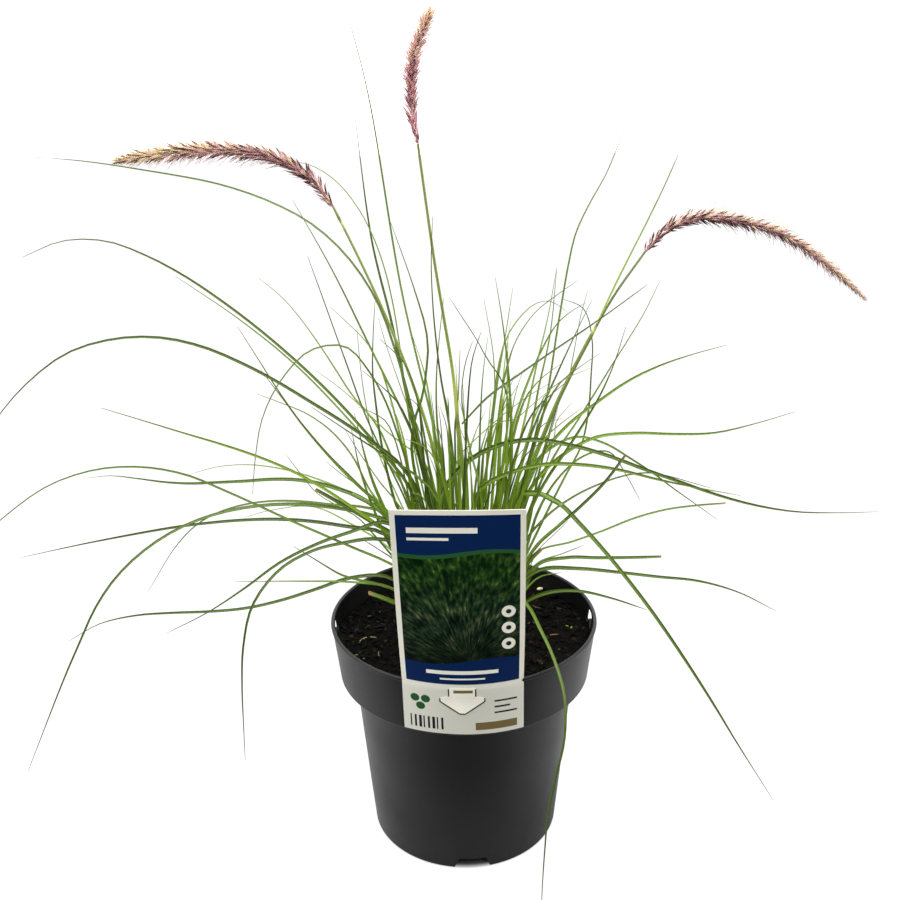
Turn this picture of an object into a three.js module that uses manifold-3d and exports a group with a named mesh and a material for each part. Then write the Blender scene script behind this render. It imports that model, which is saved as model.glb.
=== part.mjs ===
// Swamp foxtail grass growing in a round nursery pot, with a card label at the rim.
// Millimetres, +Z up. The origin is the middle of the pot's underside, and the label faces -Y.
import * as THREE from "three";
import { mergeVertices } from "three/addons/utils/BufferGeometryUtils.js";
import Module from "manifold-3d";

const wasm = await Module();
wasm.setup();

// Pot: a deep collar steps out from a tapering wall
const LIP_RADIUS = 100;
const POT_HEIGHT = 176;
const COLLAR_HEIGHT = 44;
const COLLAR_FOOT_RADIUS = 94.5;
const WALL_TOP_RADIUS = 83.5;
const BASE_RADIUS = 72;
const WALL = 1.2;
const BEAD_RADIUS = 1.4; // the rolled lip's own roundness
const POT_SIDES = 64;

// Pot floor: a middle disc and a heel stand on the ground, with a raised ring between them
const DISC_RADIUS = 28;
const HEEL_INNER_RADIUS = 63;
const FLOOR_RISE = 3.5;
const RISE_RUN = 2.5; // how far out the floor takes to rise
const DRAIN_HOLES = 8;
const DRAIN_HOLE_RADIUS = 4;

// Drain tunnels through the heel
const TUNNELS = 4;
const TUNNEL_TURN = -86;
const TUNNEL_FOOT_WIDTH = 28;
const TUNNEL_TOP_WIDTH = 20;
const TUNNEL_HEIGHT = 9;
const TUNNEL_INNER_RADIUS = 46;

// Slots through the collar, just under the lip
const SLOT_TURNS = [4.5, 181.5];
const SLOT_WIDTH = 18;
const SLOT_HEIGHT = 12;
const SLOT_MIDDLE_HEIGHT = 167;

// Soil and crown
const SOIL_HEIGHT = 160;
const CROWN_CENTRE = [2, 14];
const CROWN_HALF_LENGTH = 43;
const CROWN_HALF_DEPTH = 31;
const CROWN_RISE = 10;

// Label card
const CARD_WIDTH = 84;
const CARD_LENGTH = 177.5;
const CARD_FOOT_HEIGHT = 135.3;
const CARD_CREASE = 41.5; // how far up the card the pot's lip is
const CARD_THICKNESS = 0.5;
const CARD_LEAN = 7.3; // degrees forward from upright, as the collar's side leans
const CARD_TURN = -0.7; // degrees round the pot's axis
const CARD_DRIFT = -0.0155; // sideways shift for each mm up the card
const CARD_TOP_RADIUS = 800; // the card is almost flat at its top

// Touching pieces keep this gap
const GAP = 0.3;

// Blades and stems
const BLADE_KEEL = 0.45;
const BLADE_GROOVE = 0.35;
const BLADE_STEP = 27; // mm along a blade from one cross-section to the next
const TIP_WIDTH = 0.5;
const FRONT = new THREE.Vector3(0, -0.94, 0.34); // from the tuft towards whoever looks at its front
const CULM_FOOT_RADIUS = 2.2;
const CULM_TOP_RADIUS = 0.9;
const CULM_SIDES = 6;
const CULM_STEP = 40;
const SPIKE_RADIUS = 6;
const SPIKE_SIDES = 8;
const SPIKE_STEP = 18;

// Stems. Heading is in degrees from +X towards +Y. Foot is [x, y] on the crown. Every path point is
// [distance from the foot along the heading, height], and a third number is a shift to the heading's left.
const STEMS = [
  {
    name: "left", heading: 158, foot: [-6, 30],
    culm: [[10, 265], [17, 295], [30, 338], [46, 378], [59, 407], [76, 441], [92, 471]],
    spike: [[101, 483], [118, 496], [134, 503], [155, 508], [180, 509], [210, 508], [248, 504], [278, 500]],
  },
  {
    name: "centre", heading: 200, foot: [4, 8],
    culm: [[1, 260], [4, 290], [7, 320], [11, 365], [19, 416], [25, 456], [33, 519]],
    spike: [[37, 538, 2], [41.5, 556, 16], [44.5, 573, 34], [45.5, 586, 54], [46, 593, 67]],
  },
  {
    name: "right", heading: 28, foot: [24, 28],
    culm: [[14, 237], [27, 265], [44, 304], [61, 337], [88, 380], [108, 408], [130, 432]],
    spike: [[138, 440], [151, 448], [167, 453], [186, 454], [206, 451], [227, 447], [249, 441], [271, 433],
      [295, 421], [319, 407], [345, 390], [372, 371]],
  },
];

// Leaf blades, with headings, feet and paths as for the stems. A cut blade ends blunt. Show is the share
// of its width that a blade turns to the front.
const LEAVES = [
  // Tall blades on the left
  { heading: 165, foot: [-6, 22], width: 3.2, show: 0.5,
    path: [[25, 295], [40, 360], [60, 415], [97, 457], [155, 483], [235, 497], [300, 504], [337, 505]] },
  { heading: 140, foot: [-10, 34], width: 1.9, show: 0.6,
    path: [[35, 287], [54, 402], [70, 445], [100, 480], [136, 496], [157, 498]] },
  { heading: 132, foot: [-1, 36], width: 3.0, show: 0.9,
    path: [[50, 283], [80, 382], [100, 438], [117, 540]] },
  { heading: 150, foot: [-22, 30], width: 2.6, show: 0.9, path: [[40, 265], [50, 350], [45, 405]] },
  { heading: 128, foot: [0, 26], width: 2.8, show: 0.55,
    path: [[30, 290], [73, 406], [110, 550], [137, 612]] },
  { heading: 150, foot: [-14, 26], width: 2.6, show: 0.8,
    path: [[16, 280], [62, 366], [94, 424], [127, 473]] },
  { heading: 205, foot: [-16, 10], width: 2.0, show: 0.65, path: [[32, 286], [56, 341], [91, 451]] },
  { heading: 212, foot: [-14, 4], width: 2.2, show: 0.7,
    path: [[33, 313], [52, 365], [74, 393], [95, 395], [121, 376], [136, 350], [145, 304]] },
  { heading: 192, foot: [-20, 16], width: 3.2, show: 0.65,
    path: [[19, 272], [40, 305], [80, 357], [132, 410], [180, 447], [216, 463], [240, 463], [264, 454]] },
  { heading: 155, foot: [-18, 24], width: 2.4, show: 0.7,
    path: [[33, 270], [58, 296], [117, 348], [170, 382], [229, 412]] },
  { heading: 208, foot: [-20, 10], width: 3.4, show: 0.7,
    path: [[17, 276], [47, 314], [93, 355], [138, 388], [175, 407], [210, 413], [246, 406], [283, 377],
      [300, 352]] },
  { heading: 170, foot: [-22, 18], width: 2.7, show: 0.75,
    path: [[30, 243], [60, 271], [100, 318], [143, 389]] },
  { heading: 196, foot: [-24, 12], width: 2.8, show: 0.7,
    path: [[27, 245], [80, 316], [105, 355], [116, 373]] },
  // Middle and low blades on the left
  { heading: 150, foot: [-24, 30], width: 2.3, show: 0.7,
    path: [[38, 232], [54, 250], [74, 282], [102, 303], [141, 313], [165, 317]] },
  { heading: 216, foot: [-22, 2], width: 3.0, show: 0.75,
    path: [[29, 236], [90, 300], [133, 331], [184, 359], [229, 383]] },
  { heading: 160, foot: [-26, 20], width: 3.8, show: 0.9,
    path: [[31, 240], [56, 255], [107, 263], [162, 255], [219, 246], [289, 244], [313, 239]] },
  { heading: 215, foot: [-22, -6], width: 2.5, show: 0.55,
    path: [[21, 217], [61, 248], [105, 279], [146, 309], [183, 334], [218, 346], [253, 346], [288, 330],
      [308, 316]] },
  { heading: 197, foot: [-28, 8], width: 3.8, show: 0.6,
    path: [[19, 246], [49, 262], [98, 275], [147, 275], [189, 261], [226, 231], [255, 182], [298, 94]] },
  { heading: 150, foot: [-28, 24], width: 2.4, show: 0.85,
    path: [[28, 237], [90, 237], [161, 225], [222, 199], [262, 166], [311, 103]] },
  { heading: 176, foot: [-28, 14], width: 3.4, show: 0.8,
    path: [[23, 230], [65, 241], [110, 245], [172, 240], [253, 224], [319, 208]] },
  { heading: 200, foot: [-24, 4], width: 3.4, show: 0.8, cut: true,
    path: [[24, 239], [46, 258], [67, 275], [84, 288]] },
  { heading: 225, foot: [-4, 2], width: 2.5, show: 0.75,
    path: [[22, 278], [55, 310], [87, 336], [126, 368]] },
  { heading: 218, foot: [-26, -6], width: 3.4, show: 0.9,
    path: [[24, 259], [61, 265], [113, 261], [162, 243], [193, 236], [202, 235]] },
  { heading: 224, foot: [-26, -8], width: 3.1, show: 0.8,
    path: [[26, 245], [66, 261], [104, 266], [140, 256], [155, 235], [162, 202], [166, 135]] },
  { heading: 188, foot: [-30, 2], width: 3.4, show: 0.7,
    path: [[18, 204], [55, 209], [92, 198], [136, 190], [194, 191], [230, 189], [261, 174]] },
  // One blade that hangs over the front of the rim
  { heading: -64, foot: [24, 2], width: 2.6, show: 0.9,
    path: [[13, 198, 9], [33, 196, 9], [72, 189, 1], [103, 177, -5], [117, 161, -9], [124, 136, -15],
      [126, 101, -25], [129, 45, -31], [131, 6, -33]] },
  // Arching blades on the right
  { heading: -26, foot: [26, 8], width: 4.0, show: 0.9,
    path: [[11, 251], [19, 272], [32, 277], [65, 256], [111, 210], [157, 152], [188, 108], [215, 71]] },
  { heading: -14, foot: [-6, 12], width: 4.0, show: 0.95,
    path: [[-11, 259], [10, 294], [49, 314], [92, 312], [148, 296], [203, 281], [243, 277], [292, 282]] },
  { heading: -24, foot: [11, 1], width: 4.2, show: 0.85,
    path: [[-1, 271], [25, 293], [55, 304], [98, 307], [140, 303], [185, 301]] },
  { heading: 18, foot: [18, 24], width: 3.1, show: 0.75,
    path: [[19, 248], [40, 285], [71, 299], [118, 276], [164, 242], [201, 213]] },
  { heading: 20, foot: [34, 26], width: 2.4, show: 0.85,
    path: [[31, 257], [55, 280], [76, 292], [89, 282], [114, 240]] },
  { heading: -8, foot: [30, 18], width: 3.8, show: 0.75,
    path: [[20, 269], [42, 297], [73, 315], [115, 317], [153, 320], [203, 337]] },
  { heading: 12, foot: [28, 20], width: 3.8, show: 0.75,
    path: [[19, 266], [42, 306], [68, 327], [106, 350], [152, 364], [173, 368]] },
  { heading: 38, foot: [26, 30], width: 2.2, show: 0.9,
    path: [[50, 267], [89, 308], [128, 350], [150, 373], [170, 401]] },
  { heading: -35, foot: [28, 12], width: 3.0, show: 0.9,
    path: [[30, 270], [57, 318], [77, 354], [88, 381], [95, 406]] },
  { heading: 50, foot: [22, 32], width: 2.8, show: 0.9,
    path: [[42, 279], [72, 320], [105, 360], [130, 387]] },
  { heading: 40, foot: [30, 25], width: 2.2, show: 0.8,
    path: [[59, 250], [86, 285], [93, 346], [91, 374], [78, 396], [58, 403]] },
  { heading: 45, foot: [18, 34], width: 2.6, show: 0.6,
    path: [[44, 258], [67, 319], [84, 395], [101, 448], [133, 484], [163, 530]] },
  { heading: 55, foot: [14, 30], width: 3.0, show: 0.95,
    path: [[31, 275], [63, 329], [105, 368], [136, 377], [159, 379]] },
  { heading: 45, foot: [10, 28], width: 1.8, show: 0.65,
    path: [[26, 322], [37, 362], [59, 386], [82, 396], [115, 407]] },
  { heading: -55, foot: [10, 34], width: 3.4, show: 0.9,
    path: [[42, 284], [42, 344], [35, 388], [24, 428]] },
  { heading: 240, foot: [0, 20], width: 2.3, show: 0.8,
    path: [[15, 309], [32, 376], [39, 435], [36, 473]] },
  // Low and cut blades on the right
  { heading: -38, foot: [30, 0], width: 2.4, show: 0.85, cut: true,
    path: [[21, 229], [57, 271], [80, 298], [92, 317], [97, 324]] },
  { heading: 34, foot: [32, 22], width: 2.1, show: 0.85,
    path: [[24, 223], [68, 246], [104, 251], [143, 249], [225, 216]] },
  { heading: 20, foot: [34, 14], width: 1.9, show: 0.6, cut: true,
    path: [[16, 210], [69, 222], [121, 233], [166, 233], [190, 231]] },
  { heading: 8, foot: [34, 12], width: 2.8, show: 0.85, cut: true,
    path: [[15, 209], [40, 213], [79, 210], [120, 208]] },
  { heading: -18, foot: [34, 4], width: 3.4, show: 0.8,
    path: [[14, 208], [47, 218], [98, 220], [154, 220], [193, 206]] },
  { heading: -34, foot: [32, -4], width: 3.2, show: 0.9,
    path: [[18, 194], [45, 209], [77, 216], [100, 213], [113, 214]] },
  // Two blades that grow from a node on the right and the centre culm
  { heading: 40, foot: [102, 66], footHeight: 383, width: 2.1, show: 0.55,
    path: [[13, 402], [44, 444], [60, 465], [83, 500]] },
  { heading: 15, foot: [0, 5], footHeight: 325, width: 2.2, show: 0.7,
    path: [[12, 338], [57, 367], [104, 395], [138, 417]] },
];

// Geometry helpers

const radians = THREE.MathUtils.degToRad;

function solidOf(geometry) {
  const bare = geometry.clone();
  bare.deleteAttribute("normal");
  bare.deleteAttribute("uv");
  const merged = mergeVertices(bare, 1e-4);
  return new wasm.Manifold(
    new wasm.Mesh({
      numProp: 3,
      vertProperties: merged.attributes.position.array,
      triVerts: new Uint32Array(merged.index.array),
    }),
  );
}

function geometryOf(solid) {
  const mesh = solid.getMesh();
  const geometry = new THREE.BufferGeometry();
  geometry.setAttribute("position", new THREE.BufferAttribute(mesh.vertProperties, 3));
  geometry.setIndex(new THREE.BufferAttribute(mesh.triVerts, 1));
  geometry.computeVertexNormals();
  return geometry;
}

function lathe(outline, sides) {
  const points = outline.map(([radius, height]) => new THREE.Vector2(radius, height));
  const geometry = new THREE.LatheGeometry(points, sides);
  return geometry.rotateX(Math.PI / 2);
}

// A closed skin over rings of points that all run the same way round, with a flat cap on each end ring.
function loft(rings) {
  const sides = rings[0].length;
  const last = (rings.length - 1) * sides;
  const faces = [];
  for (let ring = 0; ring < rings.length - 1; ring += 1) {
    for (let side = 0; side < sides; side += 1) {
      const a = ring * sides + side;
      const b = ring * sides + ((side + 1) % sides);
      faces.push(a, b, b + sides, a, b + sides, a + sides);
    }
  }
  for (let side = 1; side < sides - 1; side += 1) {
    faces.push(0, side + 1, side);
    faces.push(last, last + side, last + side + 1);
  }
  const geometry = new THREE.BufferGeometry().setFromPoints(rings.flat());
  geometry.setIndex(faces);
  geometry.computeVertexNormals();
  return geometry;
}

function material(color, roughness) {
  return new THREE.MeshStandardMaterial({ color, roughness, metalness: 0 });
}

function named(name, geometry, finish) {
  const mesh = new THREE.Mesh(geometry, finish);
  mesh.name = name;
  return mesh;
}

// Pot

const collarFoot = POT_HEIGHT - COLLAR_HEIGHT;

function beadOutline() {
  const centre = [LIP_RADIUS - BEAD_RADIUS, POT_HEIGHT - BEAD_RADIUS];
  const outline = [];
  for (let turn = -60; turn <= 180; turn += 40) {
    outline.push([
      centre[0] + BEAD_RADIUS * Math.cos(radians(turn)),
      centre[1] + BEAD_RADIUS * Math.sin(radians(turn)),
    ]);
  }
  return outline;
}

// The inside of the pot, from the top down to the axis, drawn in by a gap. The potting mix fills it.
function insideOutline(inset) {
  const floor = WALL + inset;
  const ring = floor + FLOOR_RISE;
  const slant = WALL - inset / 2;
  return [
    [COLLAR_FOOT_RADIUS - WALL - inset, collarFoot + WALL + inset],
    [WALL_TOP_RADIUS - WALL - inset, collarFoot + WALL + inset],
    [BASE_RADIUS - WALL - inset, floor],
    [HEEL_INNER_RADIUS + slant, floor],
    [HEEL_INNER_RADIUS - RISE_RUN + slant, ring],
    [DISC_RADIUS + RISE_RUN - slant, ring],
    [DISC_RADIUS - slant, floor],
    [0, floor],
  ];
}

function potShell() {
  const outline = [
    [0, 0],
    [DISC_RADIUS, 0],
    [DISC_RADIUS + RISE_RUN, FLOOR_RISE],
    [HEEL_INNER_RADIUS - RISE_RUN, FLOOR_RISE],
    [HEEL_INNER_RADIUS, 0],
    [BASE_RADIUS, 0],
    [WALL_TOP_RADIUS, collarFoot],
    [COLLAR_FOOT_RADIUS, collarFoot],
    ...beadOutline(),
    ...insideOutline(0),
  ];
  return solidOf(lathe(outline, POT_SIDES));
}

// A straight tunnel along +X with sloping sides. grow makes it larger all round.
function tunnelBar(inner, outer, grow) {
  const foot = TUNNEL_FOOT_WIDTH / 2 + grow;
  const top = TUNNEL_TOP_WIDTH / 2 + grow;
  const section = new THREE.Shape([
    new THREE.Vector2(-foot, -1),
    new THREE.Vector2(foot, -1),
    new THREE.Vector2(top, TUNNEL_HEIGHT + grow),
    new THREE.Vector2(-top, TUNNEL_HEIGHT + grow),
  ]);
  const bar = new THREE.ExtrudeGeometry(section, { depth: outer - inner, bevelEnabled: false });
  return bar.rotateX(Math.PI / 2).rotateZ(Math.PI / 2).translate(inner, 0, 0);
}

function eachTunnel(inner, outer, grow) {
  const bars = [];
  for (let index = 0; index < TUNNELS; index += 1) {
    const bar = tunnelBar(inner, outer, grow);
    bars.push(solidOf(bar.rotateZ(radians(TUNNEL_TURN + (index * 360) / TUNNELS))));
  }
  return bars;
}

function wallCone() {
  const outline = [[0, 0], [BASE_RADIUS, 0], [WALL_TOP_RADIUS, collarFoot], [0, collarFoot]];
  return solidOf(lathe(outline, POT_SIDES));
}

function nurseryPot() {
  let pot = potShell();
  const cone = wallCone();
  for (const roof of eachTunnel(TUNNEL_INNER_RADIUS - WALL, BASE_RADIUS + WALL, WALL)) {
    pot = pot.add(roof.intersect(cone));
  }
  for (const bore of eachTunnel(TUNNEL_INNER_RADIUS, LIP_RADIUS, 0)) {
    pot = pot.subtract(bore);
  }
  const ringMiddle = (DISC_RADIUS + TUNNEL_INNER_RADIUS) / 2;
  for (let index = 0; index < DRAIN_HOLES; index += 1) {
    const turn = radians(TUNNEL_TURN + ((index + 0.5) * 360) / DRAIN_HOLES);
    const hole = new THREE.CylinderGeometry(DRAIN_HOLE_RADIUS, DRAIN_HOLE_RADIUS, 4 * WALL, 16);
    hole.rotateX(Math.PI / 2);
    hole.translate(ringMiddle * Math.cos(turn), ringMiddle * Math.sin(turn), FLOOR_RISE + WALL / 2);
    pot = pot.subtract(solidOf(hole));
  }
  for (const turn of SLOT_TURNS) {
    const slot = new THREE.BoxGeometry(8 * WALL, SLOT_WIDTH, SLOT_HEIGHT);
    slot.translate(LIP_RADIUS - 2 * WALL, 0, SLOT_MIDDLE_HEIGHT).rotateZ(radians(turn));
    pot = pot.subtract(solidOf(slot));
  }
  return named("nursery_pot", geometryOf(pot), material(0x17181b, 0.45));
}

function pottingMix() {
  const collarInside = COLLAR_FOOT_RADIUS - WALL - GAP;
  const collarLean = (LIP_RADIUS - COLLAR_FOOT_RADIUS - BEAD_RADIUS) / COLLAR_HEIGHT;
  const topRadius = collarInside + collarLean * (SOIL_HEIGHT - collarFoot - WALL - GAP);
  const outline = [[0, SOIL_HEIGHT], [topRadius, SOIL_HEIGHT], ...insideOutline(GAP)];
  let mix = solidOf(lathe(outline.reverse(), POT_SIDES));
  for (const roof of eachTunnel(TUNNEL_INNER_RADIUS - WALL - GAP, LIP_RADIUS, WALL + GAP)) {
    mix = mix.subtract(roof);
  }
  return named("potting_mix", geometryOf(mix), material(0x2a1f19, 0.95));
}

// Label card: it follows the round collar at its foot and flattens towards its top

const CARD_STAND_OFF = 1; // how far the card's foot stands out from the collar's own foot
const cardFootRadius = COLLAR_FOOT_RADIUS + CARD_STAND_OFF;

function cardRing(along) {
  const columns = 12;
  const aboveRim = Math.max(0, (along - CARD_CREASE) / (CARD_LENGTH - CARD_CREASE));
  const bend = (1 - aboveRim) / LIP_RADIUS + aboveRim / CARD_TOP_RADIUS;
  const radius = 1 / bend;
  const front = cardFootRadius + along * Math.sin(radians(CARD_LEAN));
  const height = CARD_FOOT_HEIGHT + along * Math.cos(radians(CARD_LEAN));
  const drift = CARD_DRIFT * (along - CARD_CREASE);
  const pointAt = (across, outwards) => {
    const turn = across * bend;
    const reach = radius + outwards;
    const forward = front - radius + reach * Math.cos(turn);
    return new THREE.Vector3(drift + reach * Math.sin(turn), -forward, height);
  };
  const inner = [];
  const outer = [];
  for (let column = 0; column <= columns; column += 1) {
    const across = (column / columns - 0.5) * CARD_WIDTH;
    inner.push(pointAt(across, 0));
    outer.push(pointAt(across, CARD_THICKNESS));
  }
  return [...outer, ...inner.reverse()];
}

// The card's end faces are slim rings, so they are closed by quads and not by a fan.
function plantLabel() {
  const rows = 12;
  const rings = [];
  for (let row = 0; row <= rows; row += 1) {
    rings.push(cardRing((row / rows) * CARD_LENGTH));
  }
  const sides = rings[0].length;
  const last = rows * sides;
  const faces = [];
  for (let row = 0; row < rows; row += 1) {
    for (let side = 0; side < sides; side += 1) {
      const a = row * sides + side;
      const b = row * sides + ((side + 1) % sides);
      faces.push(a, b, b + sides, a, b + sides, a + sides);
    }
  }
  for (let side = 0; side < sides / 2 - 1; side += 1) {
    const across = sides - 1 - side;
    faces.push(side, across, across - 1, side, across - 1, side + 1);
    faces.push(last + side, last + across - 1, last + across);
    faces.push(last + side, last + side + 1, last + across - 1);
  }
  const geometry = new THREE.BufferGeometry().setFromPoints(rings.flat());
  geometry.setIndex(faces);
  geometry.computeVertexNormals();
  geometry.rotateZ(radians(CARD_TURN));
  return named("plant_label", geometry, material(0xe9e4cf, 0.6));
}

// Crown: a low mound over which every foot stands

function crownHeight(x, y) {
  const across = (x - CROWN_CENTRE[0]) / CROWN_HALF_LENGTH;
  const deep = (y - CROWN_CENTRE[1]) / CROWN_HALF_DEPTH;
  const inside = Math.max(0, 1 - across * across - deep * deep);
  return SOIL_HEIGHT + GAP + CROWN_RISE * Math.sqrt(inside);
}

function crown() {
  const steps = 6;
  const outline = [[0, 0]];
  for (let step = 0; step <= steps; step += 1) {
    const turn = (step / steps) * (Math.PI / 2);
    outline.push([Math.cos(turn), Math.sin(turn)]);
  }
  const mound = lathe(outline, 32);
  mound.scale(CROWN_HALF_LENGTH, CROWN_HALF_DEPTH, CROWN_RISE);
  mound.translate(CROWN_CENTRE[0], CROWN_CENTRE[1], SOIL_HEIGHT + GAP);
  return named("crown", geometryOf(solidOf(mound)), material(0x7d8a3c, 0.8));
}

// Strands: the middle line of each blade and stem, as evenly spaced stations

function strand({ heading, foot, footHeight, path }, step) {
  const ahead = [Math.cos(radians(heading)), Math.sin(radians(heading))];
  const start = new THREE.Vector3(foot[0], foot[1], footHeight ?? crownHeight(...foot) + 2 * GAP);
  const points = path.map(([reach, height, left = 0]) => new THREE.Vector3(
    foot[0] + reach * ahead[0] - left * ahead[1],
    foot[1] + reach * ahead[1] + left * ahead[0],
    height,
  ));
  const curve = new THREE.CatmullRomCurve3([start, ...points], false, "centripetal");
  const count = Math.max(5, Math.round(curve.getLength() / step));
  return curve.getSpacedPoints(count);
}

// Blades and stems don't pass through each other, so a blade's stations move aside by a few millimetres
// where it crosses another strand. Stems stay, and so does the foot of each blade.
const CLEARANCE = 0.9;
const ROUNDS = 60;
const SHARE_WITH_NEIGHBOURS = [0.25, 0.6, 1, 0.6, 0.25];

function shiftAt(points, segment, along, push) {
  const nearest = segment + Math.round(along);
  SHARE_WITH_NEIGHBOURS.forEach((share, offset) => {
    const station = nearest + offset - 2;
    if (station > 0 && station < points.length) points[station].addScaledVector(push, share);
  });
}

function closePairs(a, b) {
  const first = new THREE.Line3();
  const second = new THREE.Line3();
  const onFirst = new THREE.Vector3();
  const onSecond = new THREE.Vector3();
  const found = [];
  for (let i = 0; i < a.points.length - 1; i += 1) {
    first.set(a.points[i], a.points[i + 1]);
    for (let j = 0; j < b.points.length - 1; j += 1) {
      second.set(b.points[j], b.points[j + 1]);
      const squared = first.distanceSqToLine3(second, onFirst, onSecond);
      const need = a.halfWidth + b.halfWidth + CLEARANCE;
      if (squared < need * need) {
        const apart = new THREE.Vector3().subVectors(onFirst, onSecond);
        const along = first.closestPointToPointParameter(onFirst, true);
        const across = second.closestPointToPointParameter(onSecond, true);
        found.push({ i, j, along, across, apart, lack: need - Math.sqrt(squared) });
      }
    }
  }
  return found;
}

function moveAside(strands) {
  for (let round = 0; round < ROUNDS; round += 1) {
    let touching = 0;
    strands.forEach((a, index) => {
      for (const b of strands.slice(index + 1)) {
        if (a.fixed && b.fixed) continue;
        for (const { i, j, along, across, apart, lack } of closePairs(a, b)) {
          touching += 1;
          if (apart.lengthSq() < 1e-6) apart.set(0, 1, 0);
          const push = apart.normalize().multiplyScalar(lack * (a.fixed || b.fixed ? 0.6 : 0.3));
          if (!a.fixed) shiftAt(a.points, i, along, push);
          if (!b.fixed) shiftAt(b.points, j, across, push.negate());
        }
      }
    });
    if (!touching) return;
  }
}

// Blades

function bladeWidth(width, cut, along) {
  const base = Math.min(1, 0.7 + 1.5 * along);
  const taper = cut ? 1 - 0.35 * along ** 2 : 1 - along ** 1.65;
  return Math.max(TIP_WIDTH, width * base * taper);
}

// A blade's hollow face looks to the front and, by its own turn, upwards or in towards the tuft's heart.
// Near the tip it looks straight to the front.
function bladeRings(points, { heading, width, cut, show }) {
  const curve = new THREE.CatmullRomCurve3(points, false, "centripetal");
  const upwards = Math.cos(radians(heading)) < 0 ? 1 : -1;
  return points.map((middle, station) => {
    const along = station / (points.length - 1);
    const ahead = curve.getTangent(along);
    const side = new THREE.Vector3().crossVectors(FRONT, ahead).normalize();
    side.applyAxisAngle(ahead, upwards * Math.acos(show) * (1 - along ** 3));
    const face = new THREE.Vector3().crossVectors(ahead, side);
    const half = bladeWidth(width, cut, along) / 2;
    const thin = Math.min(1, half / 0.9);
    return [
      middle.clone().addScaledVector(side, -half),
      middle.clone().addScaledVector(face, -BLADE_KEEL * thin),
      middle.clone().addScaledVector(side, half),
      middle.clone().addScaledVector(face, BLADE_GROOVE * thin),
    ];
  });
}

// Stems: round rings about a line

function roundRings(curve, from, to, step, sides, radiusAt) {
  const length = curve.getLength();
  const count = Math.max(3, Math.round((to - from) / step));
  const rings = [];
  for (let station = 0; station <= count; station += 1) {
    const along = station / count;
    const share = (from + along * (to - from)) / length;
    const middle = curve.getPointAt(share);
    const ahead = curve.getTangentAt(share);
    const across = new THREE.Vector3(0, 1, 0).addScaledVector(ahead, -ahead.y).normalize();
    const ring = [];
    for (let side = 0; side < sides; side += 1) {
      const spoke = across.clone().applyAxisAngle(ahead, (side / sides) * 2 * Math.PI);
      ring.push(middle.clone().addScaledVector(spoke, radiusAt(along)));
    }
    rings.push(ring);
  }
  return rings;
}

function culmRadius(along) {
  return CULM_TOP_RADIUS + (CULM_FOOT_RADIUS - CULM_TOP_RADIUS) * (1 - along) ** 2;
}

function spikeRadius(along) {
  const swell = Math.min(1, 0.25 + 5 * along);
  const taper = Math.min(1, 0.2 + 4 * (1 - along));
  return SPIKE_RADIUS * swell * taper;
}

function stemPoints(stem) {
  return strand({ ...stem, path: [...stem.culm, ...stem.spike] }, 12);
}

// Where the culm ends and the spike begins, in mm along the stem
function joinOf(curve, { heading, foot, culm }) {
  const [reach, height] = culm.at(-1);
  const target = new THREE.Vector3(
    foot[0] + reach * Math.cos(radians(heading)),
    foot[1] + reach * Math.sin(radians(heading)),
    height,
  );
  const length = curve.getLength();
  let best = 0;
  let least = length;
  for (let distance = 0; distance < length; distance += 1) {
    const gap = curve.getPointAt(distance / length).distanceTo(target);
    if (gap < least) {
      best = distance;
      least = gap;
    }
  }
  return best;
}

function culmAndSpike(stem, points) {
  const curve = new THREE.CatmullRomCurve3(points, false, "centripetal");
  const join = joinOf(curve, stem);
  const culm = roundRings(curve, 0, join - GAP, CULM_STEP, CULM_SIDES, culmRadius);
  const spike = roundRings(curve, join, curve.getLength(), SPIKE_STEP, SPIKE_SIDES, spikeRadius);
  return [
    named(`culm_${stem.name}`, loft(culm), material(0x8fa34a, 0.6)),
    named(`spike_${stem.name}`, loft(spike), material(0x9a7f5e, 0.9)),
  ];
}

// The whole plant

function plant() {
  const group = new THREE.Group();
  const leaves = LEAVES.map((leaf) => ({
    points: strand(leaf, BLADE_STEP),
    halfWidth: leaf.width / 2,
    fixed: false,
  }));
  const stems = STEMS.map((stem) => ({
    points: stemPoints(stem),
    halfWidth: CULM_TOP_RADIUS,
    fixed: true,
  }));
  moveAside([...leaves, ...stems]);
  STEMS.forEach((stem, index) => group.add(...culmAndSpike(stem, stems[index].points)));
  LEAVES.forEach((leaf, index) => {
    const name = `leaf_${String(index + 1).padStart(2, "0")}`;
    const green = new THREE.Color().setHSL(0.22 + 0.03 * Math.sin(index), 0.42, 0.36);
    group.add(named(name, loft(bladeRings(leaves[index].points, leaf)), material(green, 0.55)));
  });
  return group;
}

const pottedGrass = new THREE.Group();
pottedGrass.add(nurseryPot(), pottingMix(), plantLabel(), crown(), plant());

export default pottedGrass;
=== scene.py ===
# Swamp foxtail grass in a nursery pot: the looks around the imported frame.
# Metres, +Z up. The origin is the middle of the pot's underside, and the label faces -Y.
import math
import random

import bmesh
import bpy
from mathutils import Matrix, Vector, noise


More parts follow.
